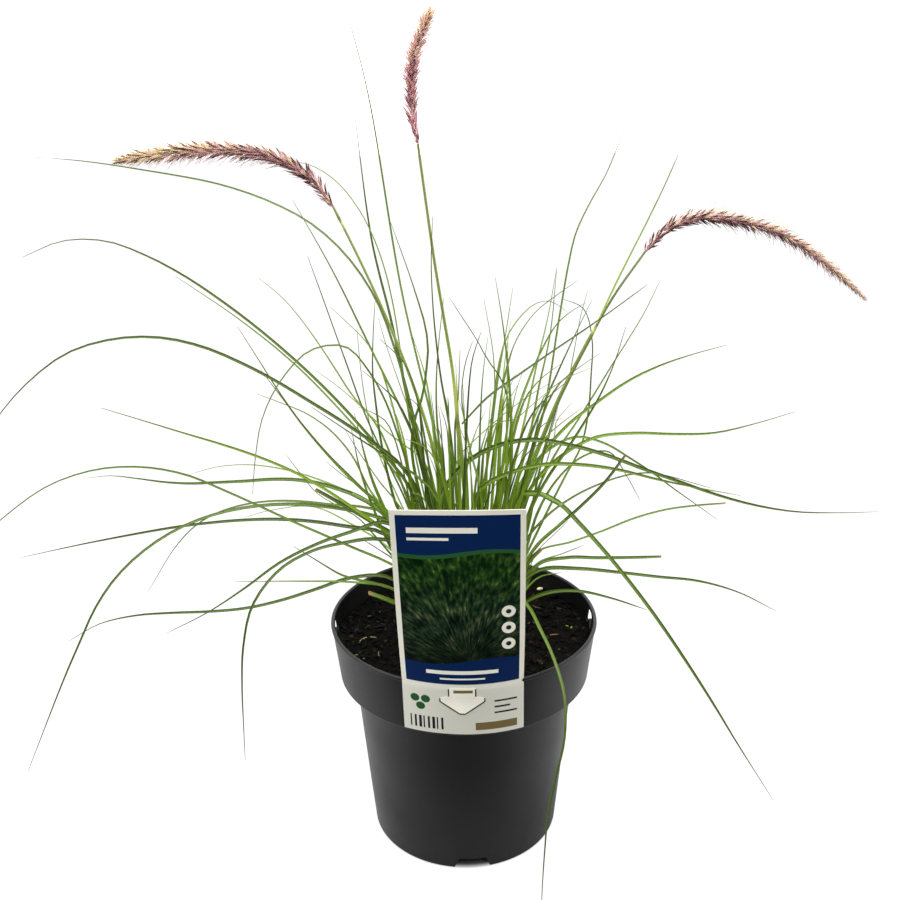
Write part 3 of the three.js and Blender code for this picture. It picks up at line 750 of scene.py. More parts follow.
BRISTLE = tone_material(
    "bristle_straw", 0.5, 0.2, 500.0,
    (0.0, (0.3, 0.12, 0.16)), (0.2, (0.75, 0.38, 0.46)), (0.4, (0.93, 0.66, 0.66)),
    (0.62, (0.95, 0.8, 0.56)), (0.8, (0.93, 0.76, 0.36)), (1.0, (0.88, 0.66, 0.18)))
CHIP_BROWN = tone_material(
    "bark_chip_brown", 0.85, 0.25, 700.0,
    (0.0, (0.0008, 0.0008, 0.0007)), (0.6, (0.0026, 0.0022, 0.0017)), (0.9, (0.006, 0.0048, 0.003)),
    (1.0, (0.03, 0.021, 0.011)))
WEED_GREEN = tone_material(
    "weed_green", 0.6, 0.3, 1500.0, (0.0, (0.02, 0.04, 0.008)), (1.0, (0.16, 0.24, 0.035)))
GRAIN_PALE = tone_material(
    "grain_pale", 0.6, 0.3, 1500.0, (0.0, (0.42, 0.33, 0.14)), (1.0, (0.75, 0.68, 0.42)))
# Dark sheet under the arrow: painted shadow in the die-cut slit
SLIT_PAINTED_SHADOW = tone_material(
    "slit_painted_shadow", 0.8, 0.0, 1500.0, (0.0, (0.012, 0.012, 0.011)), (1.0, (0.03, 0.03, 0.028)))
POT_BLACK = pot_material()
SOIL_DARK = soil_material()
CARD_PRINT = card_material()
TONGUE_CARD = tongue_material()


# Pot


def arc(middle, radius, start, end, steps):
    """Points of (radius, height) along an arc, with turns in degrees."""
    points = []
    for step in range(steps + 1):
        turn = math.radians(start + (end - start) * step / steps)
        points.append((middle[0] + radius * math.cos(turn), middle[1] + radius * math.sin(turn)))
    return points


def draw_round(name, outline, sides):
    """A closed round body: a circle is extruded and resized from each (radius, height) to the next."""
    radius, height = outline[0]
    piece = add_piece("circle", name, vertices=sides, radius=radius, location=(0, 0, height),
                      fill_type="TRIFAN")
    open_edit(piece)
    pick(piece, lambda spot: spot.xy.length > radius / 2)
    bpy.ops.mesh.select_mode(type="EDGE")
    for next_radius, next_height in outline[1:]:
        bpy.ops.mesh.extrude_edges_move(TRANSFORM_OT_translate={"value": (0, 0, next_height - height)})
        share = next_radius / radius
        resize((share, share, 1), (0, 0, next_height))
        radius, height = next_radius, next_height
    bpy.ops.mesh.merge(type="CENTER")
    close_edit()
    clean_normals(piece)
    return piece


def pot_outline():
    """The shell's outline, from near the axis below, round the outside and the lip, and down the inside."""
    edge = EDGE_RADIUS
    slant = (WALL_TOP_RADIUS - BASE_RADIUS) / COLLAR_FOOT_HEIGHT
    bead = (LIP_RADIUS - BEAD_RADIUS, POT_HEIGHT - BEAD_RADIUS)
    ledge = COLLAR_FOOT_HEIGHT + WALL
    ring = WALL + FLOOR_RISE
    outline = [(NEAR_AXIS, 0), (DISC_RADIUS, 0), (DISC_RADIUS + RISE_RUN, FLOOR_RISE),
               (HEEL_INNER_RADIUS - RISE_RUN, FLOOR_RISE), (HEEL_INNER_RADIUS, 0)]
    outline += arc((BASE_RADIUS - edge, edge), edge, -90, -5, EDGE_STEPS)
    for share in (0.25, 0.5, 0.75):
        height = share * COLLAR_FOOT_HEIGHT
        outline.append((BASE_RADIUS + slant * height, height))
    outline += arc((WALL_TOP_RADIUS + edge, COLLAR_FOOT_HEIGHT - edge), edge, 175, 90, EDGE_STEPS)
    outline += arc((COLLAR_FOOT_RADIUS - edge, COLLAR_FOOT_HEIGHT + edge), edge, -90, 7, EDGE_STEPS)
    collar_middle = (COLLAR_FOOT_RADIUS + LIP_RADIUS) / 2 - COLLAR_HOLLOW
    outline.append((collar_middle, (COLLAR_FOOT_HEIGHT + POT_HEIGHT) / 2))
    outline += arc(bead, BEAD_RADIUS, -60, 185, BEAD_STEPS)
    outline += [(COLLAR_FOOT_RADIUS - WALL, ledge + edge), (COLLAR_FOOT_RADIUS - WALL - edge / 2, ledge),
                (WALL_TOP_RADIUS - WALL, ledge), (BASE_RADIUS - WALL, WALL),
                (HEEL_INNER_RADIUS + WALL, WALL), (HEEL_INNER_RADIUS - RISE_RUN + WALL, ring),
                (DISC_RADIUS + RISE_RUN - WALL, ring), (DISC_RADIUS - WALL, WALL), (NEAR_AXIS, WALL)]
    return outline


def tunnel_bar(name, turn, inner, outer, grow):
    """A bar along the ground with sloping sides, which cuts a drain tunnel or gives it its roof."""
    top = TUNNEL_HEIGHT + grow
    foot_width = TUNNEL_FOOT_WIDTH + 2 * grow
    bar = add_piece("cube", name, size=1)
    open_edit(bar)
    resize((outer - inner, foot_width, top + MM))
    shift((inner + outer) / 2, 0, (top - MM) / 2)
    pick(bar, lambda spot: spot.z > 0)
    resize((1, (TUNNEL_TOP_WIDTH + 2 * grow) / foot_width, 1), (0, 0, top))
    close_edit()
    swing = rotation(turn)
    reshape(bar, lambda spot: swing @ spot)
    return bar


def slot_cutter(turn):
    """The cutter for one label slot. Its foot leaves a small tooth standing in the slot."""
    cutter = add_piece("cube", "slot_cutter", size=1)
    open_edit(cutter)
    resize((8 * WALL, SLOT_WIDTH, SLOT_HEIGHT))
    bpy.ops.mesh.subdivide(number_cuts=3)
    # The middle of its foot is raised for the tooth, and its two ends are less high
    pick(cutter, lambda spot: spot.z < -SLOT_HEIGHT * 0.4 and abs(spot.y) < SLOT_WIDTH * 0.1)
    shift(0, 0, SLOT_HEIGHT * 0.45)
    pick(cutter, lambda spot: abs(spot.y) > SLOT_WIDTH * 0.45)
    resize((1, 1, 0.75))
    close_edit()
    swing = rotation(turn) @ Matrix.Translation((LIP_RADIUS - 2 * WALL, 0, SLOT_MIDDLE_HEIGHT))
    reshape(cutter, lambda spot: swing @ spot)
    return cutter


def build_pot():
    """The moulded shell, with roofs over its drain tunnels and bores for tunnels, slots and drain holes."""
    pot = draw_round("nursery_pot_shell", pot_outline(), POT_SIDES)
    turns = [TUNNEL_TURN + index * 360 / TUNNELS for index in range(TUNNELS)]
    roofs = join_all([tunnel_bar("tunnel_roof", turn, TUNNEL_INNER_RADIUS - WALL, BASE_RADIUS + WALL, WALL)
                      for turn in turns], "tunnel_roofs")
    cone_radius = BASE_RADIUS - WALL / 2
    cone_foot = 0.2 * MM
    cone_top = 20 * MM
    cone = draw_round("wall_cone", [(NEAR_AXIS, cone_foot), (cone_radius, cone_foot),
                                    (cone_radius, cone_top), (NEAR_AXIS, cone_top)], POT_SIDES)
    combine(roofs, "INTERSECT", cone)
    combine(pot, "UNION", roofs)
    cutters = [slot_cutter(turn) for turn in SLOT_TURNS]
    bore_end = BASE_RADIUS + 6 * MM
    cutters += [tunnel_bar("tunnel_bore", turn, TUNNEL_INNER_RADIUS, bore_end, 0) for turn in turns]
    ring_middle = (DISC_RADIUS + TUNNEL_INNER_RADIUS) / 2
    for index in range(DRAIN_HOLES):
        turn = math.radians(TUNNEL_TURN + (index + 0.5) * 360 / DRAIN_HOLES)
        place = (ring_middle * math.cos(turn), ring_middle * math.sin(turn), FLOOR_RISE + WALL / 2)
        cutters.append(add_piece("cylinder", "drain_bore", vertices=DRAIN_HOLE_SIDES,
                                 radius=DRAIN_HOLE_RADIUS, depth=4 * WALL, location=place))
    bores = join_all(cutters, "bores")
    combine(pot, "DIFFERENCE", bores)
    drop(roofs, cone, bores)
    smooth(pot, 35)
    finish(pot, POT_BLACK, "pot_plastic", "nursery_pot")


# Soil


def collar_inside(height):
    """The pot's inside radius at a height within the collar."""
    share = (height - COLLAR_FOOT_HEIGHT) / (POT_HEIGHT - COLLAR_FOOT_HEIGHT)
    return COLLAR_FOOT_RADIUS - WALL + share * (LIP_RADIUS - COLLAR_FOOT_RADIUS - BEAD_RADIUS)


def soil_rise(x, y):
    """How far the soil's surface lies above its middle height: soft hollows and small lumps."""
    broad = noise.noise(Vector((x, y, 0.3)) * 28)
    lumps = noise.noise(Vector((x, y, 1.7)) * 130)
    return (BROAD_RISE * broad + LUMP_RISE * lumps - SOIL_SINK) * MM


def on_soil(x, y, above):
    return Vector((x, y, SOIL_HEIGHT + soil_rise(x, y) + above))


def build_soil():
    """The block of mix, with an uneven surface."""
    top_radius = collar_inside(SOIL_HEIGHT) - SOIL_GAP
    ledge = COLLAR_FOOT_HEIGHT + 2 * WALL
    outline = [(NEAR_AXIS, SOIL_FOOT), (BASE_RADIUS - 2 * WALL, SOIL_FOOT),
               (WALL_TOP_RADIUS - WALL - SOIL_GAP, ledge), (COLLAR_FOOT_RADIUS - 2 * WALL, ledge)]
    outline += [(top_radius * (1 - ring / SOIL_RINGS), SOIL_HEIGHT) for ring in range(SOIL_RINGS)]
    soil = draw_round("potting_soil", outline, SOIL_SIDES)
    reshape(soil, lambda spot: spot if spot.z < SOIL_HEIGHT - MM else
            Vector((spot.x, spot.y, spot.z + soil_rise(spot.x, spot.y))))
    smooth(soil)
    finish(soil, SOIL_DARK, "bark_mix", "potting_mix")


# Bits of bark, each about one unit long: sizes, and how deep their dents are
BARK_BITS = {
    "flake": ((1.0, 0.6, 0.16), 0.16),
    "lump": ((0.8, 0.6, 0.42), 0.2),
    "splinter": ((1.0, 0.24, 0.18), 0.1),
}


def bark_masters():
    masters = []
    for index, (name, (sizes, dents)) in enumerate(BARK_BITS.items()):
        chip = add_piece("ico_sphere", name, subdivisions=1, radius=0.5)
        resize_whole(chip, sizes)
        reshape(chip, lambda spot: spot + dents * noise.noise_vector(spot * 3.1 + Vector((index, 0, 0))))
        paint(chip, "tone", 0)
        masters.append(chip)
    return masters


def crown_share(x, y, margin=0.0):
    """How far out over the crown's oval a place lies, squared. It is 1 at the oval's edge."""
    across = (x - CROWN_MIDDLE.x) / (CROWN_HALF_LENGTH + margin)
    deep = (y - CROWN_MIDDLE.y) / (CROWN_HALF_DEPTH + margin)
    return across * across + deep * deep


def build_chips():
    """Copies of the bits of bark, laid at random on the soil, each at its own size, turn and tone."""
    masters = bark_masters()
    copies = []
    reach = collar_inside(SOIL_HEIGHT) - 3 * MM
    for _ in range(CHIPS):
        distance = reach * math.sqrt(chance.random())
        turn = chance.uniform(0, 2 * math.pi)
        x, y = distance * math.cos(turn), distance * math.sin(turn)
        size = chance.uniform(*CHIP_SIZES) * MM
        tilt = Matrix.Rotation(chance.gauss(0, CHIP_TILT), 4, "X")
        tilt = tilt @ Matrix.Rotation(chance.gauss(0, CHIP_TILT), 4, "Y")
        spin = Matrix.Rotation(chance.uniform(0, 2 * math.pi), 4, "Z")
        place = on_soil(x, y, size * chance.uniform(0.0, CHIP_LIFT))
        kind = chance.choice(masters)
        tone = chance.random() ** DARK_CHIPS
        if crown_share(x, y, -6 * MM) < 1:
            continue
        chip = copy_of(kind, "bark_chips")
        chip.data.transform(Matrix.Translation(place) @ spin @ tilt @ Matrix.Scale(size, 4))
        paint(chip, "tone", tone)
        copies.append(chip)
    finish(join_all(copies, "bark_chips"), CHIP_BROWN, "bark_mix")
    drop(*masters)


# What lies on the soil, in millimetres: its place, its size, its turn in degrees and its tone
LITTER = {
    "husk": (GRAIN_PALE, [((63, 68), (5.5, 3.2, 2.4), 20, 0.9), ((-20, 72), (4.5, 2.6, 2), 110, 0.3)]),
    "weed": (WEED_GREEN, [
        ((82, 2), (3, 1.6, 0.8), 60, 0.8), ((79, 5), (2.6, 1.4, 0.8), 150, 0.6),
        ((50, 9), (2.4, 1.2, 0.7), 30, 0.3), ((54, 12), (2.2, 1.1, 0.7), 100, 0.6),
        ((-78, -17), (2.6, 1.3, 0.7), 70, 0.3), ((-79, -33), (2.6, 1.4, 0.7), 10, 0.5),
        ((-73, -40), (3, 1.4, 0.7), 130, 0.4), ((-74, 24), (3.4, 2, 0.8), 40, 0.0),
        ((-66, 30), (2.8, 1.6, 0.8), 95, 0.0), ((70, -28), (2.2, 1.1, 0.7), 35, 0.2)]),
    "twig": (STRAW, [
        ((-73, -10), (15, 0.9, 0.9), 25, 0.6), ((58, 38), (9, 0.7, 0.7), 140, 0.1),
        ((-62, -32), (8, 0.7, 0.7), 95, 0.15), ((68, -8), (7, 0.8, 0.8), 10, 0.2)]),
}
LITTER_RISE = 1.6 * MM
TWIG_BOW = 1 / 9  # as a share of its length
TWIG_WAVE = 0.35  # radians to a millimetre


def build_litter():
    """Seed husks, tiny seedlings' leaves and bent dry twigs that lie on the soil."""
    for kind, (material, entries) in LITTER.items():
        bits = []
        for (x, y), sizes, turn, tone in entries:
            bit = add_piece("uv_sphere", kind, segments=10, ring_count=12, radius=0.5,
                            rotation=(0, math.pi / 2, 0))
            resize_whole(bit, [size * MM for size in sizes])
            bow = sizes[0] * TWIG_BOW * MM if kind == "twig" else 0.0
            swing = Matrix.Translation(on_soil(x * MM, y * MM, LITTER_RISE)) @ rotation(turn)
            reshape(bit, lambda spot: swing @ Vector(
                (spot.x, spot.y + bow * math.cos(spot.x / MM * TWIG_WAVE), spot.z)))
            smooth(bit)
            paint(bit, "tone", tone)
            bits.append(bit)
        finish(join_all(bits, f"soil_{kind}s"), material, "bark_mix")


# Lines that blades, sheaths and stems follow


FRONT = Vector((0, -0.94, 0.34))
LINE_STEP = 18 * MM
LINE_SAMPLES = 160


class Line:
    """A middle line through evenly spaced stations, with the way that the blade's face looks at each."""

    def __init__(self, points, faces=None, widths=None):
        self.points = points
        self.faces = faces or self.carried_faces()
        self.widths = widths
        self.knots = [points[0] * 2 - points[1], *points, points[-1] * 2 - points[-2]]

    def carried_faces(self):
        """A face direction that turns as little as it can from station to station."""
        face = Vector((0, -1, 0))
        faces = []
        last = len(self.points) - 1
        for index in range(last + 1):
            ahead = self.points[min(index + 1, last)] - self.points[max(index - 1, 0)]
            ahead.normalize()
            face = (face - ahead * face.dot(ahead)).normalized()
            faces.append(face)
        return faces

    def station(self, along):
        """The last station before a share of the line, and how far on from it towards the next."""
        last = len(self.points) - 1
        place = min(max(along, 0.0), 1.0) * last
        index = min(int(place), last - 1)
        return index, place - index

    def spot(self, along):
        """The place and the direction at a share of the line."""
        index, part = self.station(along)
        before, start, end, after = self.knots[index:index + 4]
        square = before * 2 - start * 5 + end * 4 - after
        cube = start * 3 - before - end * 3 + after
        spot = (start * 2 + (end - before) * part + square * part ** 2 + cube * part ** 3) / 2
        ahead = (end - before) + square * (2 * part) + cube * (3 * part ** 2)
        return spot, ahead.normalized()

    def at(self, along):
        """The place, the side direction and the face direction at a share of the line."""
        spot, ahead = self.spot(along)
        index, part = self.station(along)
        face = self.faces[index].lerp(self.faces[index + 1], part)
        face = (face - ahead * face.dot(ahead)).normalized()
        return spot, face.cross(ahead), face

    def width(self, along):
        index, part = self.station(along)
        return self.widths[index] * (1 - part) + self.widths[index + 1] * part

    def length(self):
        return sum((b - a).length for a, b in zip(self.points, self.points[1:]))


def rings_of(name, sides):
    """A packed strand's cross-sections, from its foot outwards."""
    cage = bmesh.new()
    cage.from_mesh(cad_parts[name].data)
    bmesh.ops.remove_doubles(cage, verts=cage.verts, dist=1e-5)
    foot = Vector((CROWN_MIDDLE.x, CROWN_MIDDLE.y, SOIL_HEIGHT))
    start = min(cage.verts, key=lambda corner: (corner.co - foot).length)
    ring = sorted(cage.verts, key=lambda corner: (corner.co - start.co).length)[:sides]
    seen = set(ring)
    rings = []
    while ring:
        rings.append([corner.co.copy() for corner in ring])
        following = {edge.other_vert(corner) for corner in ring for edge in corner.link_edges} - seen
        seen |= following
        ring = sorted(following, key=lambda corner: corner.index)
    cage.free()
    return rings


def blade_line(name):
    """The line of a packed blade, with its width and its hollow face at each station."""
    points, faces, widths = [], [], []
    for ring in rings_of(name, 4):
        pairs = [(a, b) for index, a in enumerate(ring) for b in ring[index + 1:]]
        left, right = max(pairs, key=lambda pair: (pair[0] - pair[1]).length)
        middle = (left + right) / 2
        groove, keel = sorted((corner for corner in ring if corner not in (left, right)),
                              key=lambda corner: (corner - middle).length)
        points.append(middle)
        faces.append((groove - keel).normalized())
        widths.append((right - left).length)
    return Line(points, faces, widths)


def stem_line(name, sides):
    """The line of a packed stem or spike."""
    return Line([sum(ring, Vector()) / len(ring) for ring in rings_of(name, sides)])


def even_line(points, step):
    """A line through given points, with its stations spaced evenly."""
    rough = Line(points)
    samples = [rough.spot(index / LINE_SAMPLES)[0] for index in range(LINE_SAMPLES + 1)]
    lengths = [0.0]
    for a, b in zip(samples, samples[1:]):
        lengths.append(lengths[-1] + (b - a).length)
    count = max(4, round(lengths[-1] / step))
    stations = []
    index = 0
    for station in range(count + 1):
        target = lengths[-1] * station / count
        while index < LINE_SAMPLES - 1 and lengths[index + 1] < target:
            index += 1
        part = (target - lengths[index]) / max(1e-9, lengths[index + 1] - lengths[index])
        stations.append(samples[index].lerp(samples[index + 1], min(1.0, part)))
    return stations


def crown_height(x, y):
    return crown_low.z + CROWN_RISE * math.sqrt(max(0.0, 1 - crown_share(x, y)))


def face_to_front(ahead, upwards, show):
    """The hollow face of a blade that shows a share of its width to the front."""
    side = FRONT.cross(ahead).normalized()
    side.rotate(Matrix.Rotation(upwards * math.acos(show), 3, ahead))
    return ahead.cross(side)


# The least share of its width that a free blade shows to the front, its width at its foot and how fast that
# grows, the power by which it tapers, and its least width in millimetres
LEAST_SHOWN = 0.45
FOOT_SHARE = 0.7
FOOT_GROWTH = 1.5
TAPER_POWER = 1.65
LEAST_WIDTH = 0.5


def free_line(heading, foot, path, width, taper=1.0):
    """The line of a blade that is only seen: heading in degrees from +X, the rest in millimetres."""
    ahead = Vector((math.cos(math.radians(heading)), math.sin(math.radians(heading)), 0))
    x, y = foot[0] * MM, foot[1] * MM
    points = [Vector((x, y, crown_height(x, y)))]
    for reach, height in path:
        points.append(Vector((x, y, 0)) + ahead * (reach * MM) + Vector((0, 0, height * MM)))
    stations = even_line(points, LINE_STEP)
    line = Line(stations)
    upwards = 1 if ahead.x < 0 else -1
    show = chance.uniform(LEAST_SHOWN, 1)
    faces, widths = [], []
    for index in range(len(stations)):
        along = index / (len(stations) - 1)
        faces.append(face_to_front(line.spot(along)[1], upwards, show))
        base = min(1.0, FOOT_SHARE + FOOT_GROWTH * along)
        widths.append(max(LEAST_WIDTH, width * base * (1 - taper * along ** TAPER_POWER)) * MM)
    return Line(stations, faces, widths)


def lay_along(piece, line, width_at, end=1.0, fold_at=None):
    """Bends a unit piece: its y runs along the line, its x lies across it and its z looks to the face."""
    spots = {}
    for corner in piece.data.vertices:
        across, along, up = corner.co
        key = round(along, 4)
        if key not in spots:
            fold = fold_at(along) if fold_at else 1.0
            spots[key] = (*line.at(along * end), width_at(along), fold)
        spot, side, face, width, fold = spots[key]
        corner.co = spot + (side * across + face * (up * fold)) * width
    piece.data.update()


# Master shapes of the plant, each one unit long and one unit wide


# How high a master blade's edges fold up, the roundness of the fold, and how far its midrib hangs
FOLD_HEIGHT = 0.42
FOLD_POWER = 0.9
FOLD_DROP = 0.12


def blade_master(name, columns, rows, thickness):
    """A grass blade: a strip folded along its midrib, with a little thickness."""
    blade = add_piece("grid", name, x_subdivisions=columns, y_subdivisions=rows, size=1)
    open_edit(blade)
    shift(0, 0.5, 0)
    for column in range(columns + 1):
        place = column / columns - 0.5
        pick(blade, lambda spot: abs(spot.x - place) < 0.01)
        shift(0, 0, FOLD_HEIGHT * abs(place) ** FOLD_POWER - FOLD_DROP)
    close_edit()
    apply_modifier(blade, "SOLIDIFY", thickness=thickness, offset=0)
    smooth(blade, 50)
    for layer in ("tone", "dry"):
        paint(blade, layer, 0)
    return blade


def tube_master(name, sides, rows, flatness):
    """A closed tube along +Y, flattened to the given share and cut into even rows."""
    tube = add_piece("cylinder", name, vertices=sides, radius=0.5, depth=1, rotation=(-math.pi / 2, 0, 0),
                     location=(0, 0.5, 0), end_fill_type="NGON")
    open_edit(tube)
    resize((1, 1, flatness), ORIGIN)
    for row in range(1, rows):
        bpy.ops.mesh.select_all(action="SELECT")
        bpy.ops.mesh.bisect(plane_co=(0, row / rows, 0), plane_no=(0, 1, 0))
    close_edit()
    for layer in ("tone", "knot", "pale"):
        paint(tube, layer, 0)
    smooth(tube, 50)
    return tube


WIDE_BLADE = blade_master("wide_blade_master", 4, 44, 0.07)
FINE_BLADE = blade_master("fine_blade_master", 2, 26, 0.1)
SHEATH_TUBE = tube_master("sheath_master", 8, 8, 0.62)
CULM_TUBE = tube_master("culm_master", 10, 72, 1.0)


# How much broader a blade or a sheath's top is than the line that it follows
BROADER = 1.08
# How much a blade broadens over its outer half, narrows at its tip, and folds near its foot and its tip
OUTER_SWELL = 0.22
TIP_PINCH = 0.6
MIDDLE_FOLD = 1.1
FOOT_FOLD = 0.7
TIP_FOLD = 1.6
# The greatest share of its line that a sheath covers, and from where its end closes
SHEATH_REACH = 0.8
SHEATH_CLOSES = 0.85


def add_blade(master, name, line, tone, dry, cut=False):
    """Lays one blade along its line. A cut blade keeps its width to the end."""
    growing = 0.0 if cut else 1.0

    def width_at(along):
        outer = 1 + growing * OUTER_SWELL * rise(along, 0.5, 0.3)
        tip = 1 - growing * TIP_PINCH * rise(along, 0.88, 0.12) ** 2
        return BROADER * line.width(along) * outer * tip

    def fold_at(along):
        foot_fold = FOOT_FOLD * max(0.0, 1 - 6 * along)
        return MIDDLE_FOLD + foot_fold + growing * TIP_FOLD * rise(along, 0.6, 0.4)

    blade = copy_of(master, name)
    lay_along(blade, line, width_at, fold_at=fold_at)
    paint(blade, "tone", tone)
    paint(blade, "dry", dry * MM / line.length())
    return blade


def add_sheath(line, length, foot_width, tone):
    """A leaf's sheath: a flattened tube round the foot of its line, closing on the blade at its top."""
    share = min(SHEATH_REACH, length / line.length())
    widths = (foot_width, line.width(share) * BROADER)
    sheath = copy_of(SHEATH_TUBE, "sheath")
    lay_along(sheath, line, lambda along: between(widths, along ** 1.3), share,
              lambda along: 1.0 - 4 * max(0.0, along - SHEATH_CLOSES))
    paint(sheath, "tone", tone)
    return sheath


# The imported leaves: tone 0 is a dark aged green, also painted shade among the blades, and 1 a bright young
# one, then the dead tip in millimetres
LEAF_LOOKS = [
    (0.2, 4), (0.65, 4), (0.15, 6), (0.36, 6), (0.4, 4), (0.4, 4), (0.4, 6), (0.34, 6), (0.24, 4), (0.45, 4),
    (0.13, 5), (0.58, 4), (0.5, 6), (0.4, 6), (0.8, 4), (0.18, 4), (0.32, 4), (0.15, 4), (0.25, 6), (0.04, 9),
    (0.1, 4), (0.3, 4), (0.12, 4), (0.07, 6), (0.08, 5), (0.22, 6), (0.26, 5), (0.17, 4), (0.36, 4),
    (0.42, 4),
    (0.5, 6), (0.54, 4), (0.5, 4), (0.4, 4), (0.45, 4), (0.05, 4), (0.4, 4), (0.35, 4), (0.5, 4), (0.3, 6),
    (0.7, 4), (0.3, 6), (0.21, 3), (0.2, 4), (0.4, 4), (0.25, 3), (0.14, 4), (0.14, 6), (0.5, 4), (0.06, 4),
]
CUT_LEAVES = (21, 43, 45, 46)
FROM_CULM = (49, 50)
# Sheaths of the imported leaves: lengths on an upright leaf, in millimetres, where its steepness is taken, and
# how much wider than half its blade its foot is
LEAF_SHEATHS = (60, 150)
STEEP_PLACE = 60 * MM
LEAST_STEEPNESS = 0.2
SHEATH_EXTRAS = (1.2, 2.0)


def build_leaves():
    """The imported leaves, each as a fine blade, and the sheaths round their feet."""
    sheaths = []
    for number, (tone, dry) in enumerate(LEAF_LOOKS, 1):
        node = f"leaf_{number:02d}"
        line = blade_line(node)
        blade = add_blade(WIDE_BLADE, f"blade_{number:02d}", line, tone, dry, number in CUT_LEAVES)
        finish(blade, LEAF_GREEN, "leaf_blade", node)
        if number not in FROM_CULM:
            steepness = max(LEAST_STEEPNESS, line.spot(STEEP_PLACE / line.length())[1].z)
            length = chance.uniform(*LEAF_SHEATHS) * MM * steepness ** 2
            foot_width = line.width(0.3) / 2 + chance.uniform(*SHEATH_EXTRAS) * MM
            sheaths.append(add_sheath(line, length, foot_width, 0.25 + tone))
    return sheaths


# Finer blades, in millimetres: heading, foot, width, tone, dead tip and path of (reach, height)
FINE_BLADES = [
    (210, (-8, 18), 2.8, 0.45, 4, [(32, 299), (22, 350), (18, 386), (29, 427), (44, 469)]),
    (150, (-26, 24), 2.4, 0.4, 4, [(31, 232), (58, 247), (111, 257), (163, 257), (208, 248), (244, 234)]),
    (140, (-24, 32), 1.8, 0.5, 6, [(40, 199), (90, 211), (136, 214), (193, 195), (232, 177)]),
    (170, (-22, 24), 1.6, 0.6, 6, [(58, 239), (85, 253), (104, 275), (114, 289)]),
    (175, (-20, 22), 2.2, 0.5, 6, [(39, 250), (63, 272), (83, 289)]),
    (220, (-14, 0), 2.4, 0.6, 4, [(31, 258), (57, 299), (75, 328), (82, 341)]),
    (230, (-28, -6), 2.4, 0.5, 4, [(28, 208), (81, 242), (103, 261), (124, 280)]),
    (205, (-30, -2), 2.6, 0.4, 4, [(19, 199), (50, 214), (94, 225), (140, 235)]),
    (215, (-24, -6), 2.2, 0.3, 6, [(31, 232), (47, 246), (57, 256)]),
    (135, (-12, 28), 2.4, 0.6, 4, [(70, 263), (87, 297), (95, 337), (98, 374)]),
    (130, (-2, 24), 2.2, 0.45, 6, [(41, 287), (65, 322), (88, 362), (97, 382)]),
    (160, (-12, 22), 2.6, 0.7, 4, [(13, 278), (43, 305), (80, 336), (104, 351)]),
    (145, (-14, 28), 2.2, 0.5, 6, [(56, 294), (84, 322), (123, 366), (153, 393), (181, 408)]),
    (20, (30, 24), 2.0, 0.5, 6, [(41, 301), (42, 313), (48, 321), (56, 329)]),
    (30, (24, 26), 2.2, 0.5, 6, [(58, 327), (65, 338), (71, 368), (77, 397), (81, 408)]),
    (60, (14, 24), 2.6, 0.6, 4, [(72, 301), (93, 343), (111, 375), (126, 413)]),
    (50, (12, 30), 2.6, 0.45, 4, [(61, 283), (75, 325), (90, 367), (97, 418)]),
    (60, (8, 26), 2.2, 0.35, 6, [(33, 328), (52, 370), (92, 387), (129, 385), (165, 369)]),
    (70, (6, 32), 2.4, 0.4, 4, [(60, 317), (85, 361), (105, 398)]),
    (-62, (4, 34), 2.6, 0.7, 4, [(37, 322), (39, 374), (25, 414)]),
    (20, (8, 22), 2.2, 0.5, 6, [(28, 319), (11, 368), (-17, 414)]),
    (100, (-2, 14), 2.2, 0.3, 4, [(19, 303), (4, 339), (-6, 379)]),
    (120, (8, 8), 2.2, 0.5, 6, [(-12, 262), (5, 304), (16, 338), (11, 365), (0, 385)]),
    (235, (-2, 16), 2.4, 0.55, 4, [(25, 313), (27, 361), (24, 385), (17, 417)]),
    (-15, (34, 4), 1.4, 0.5, 6, [(20, 224), (34, 243), (44, 255)]),
    (-20, (34, 8), 2.4, 0.5, 8, [(17, 211), (40, 227), (57, 237)]),
    (-25, (30, -6), 2.4, 0.45, 4, [(21, 209), (32, 215), (45, 222)]),
    (14, (0, 18), 2.2, 0.6, 4, [(-6, 282), (17, 313), (44, 334), (68, 347)]),
    (30, (10, 22), 2.2, 0.55, 4, [(8, 302), (34, 317), (67, 336)]),
    (190, (-28, 8), 3.7, 0.7, 4, [(20, 215), (34, 250), (46, 290), (52, 330)]),
    (200, (-24, 6), 3.7, 0.9, 4, [(16, 215), (30, 252), (44, 292), (54, 340)]),
    (4, (35, 8), 3.7, 0.5, 4, [(8, 215), (15, 250), (22, 290), (34, 335)]),
    (-8, (30, 10), 3.7, 0.75, 4, [(6, 215), (13, 252), (20, 300), (28, 345)]),
]
# Fine blades wider than this in millimetres have a long sheath
STOUT = 3.5
STOUT_SHEATH = 100
FINE_SHEATHS = (40, 90)
FINE_SHEATH_WIDTHS = (2.2, 3.0)
STUB_TAPER = 0.25
# Cut stubs: heading, foot, width, tone and path
CUT_STUBS = [
    (205, (-22, -8), 4.2, 0.55, [(27, 195), (39, 201), (51, 209)]),
    (-30, (34, -2), 3.4, 0.6, [(17, 227), (26, 236)]),
]


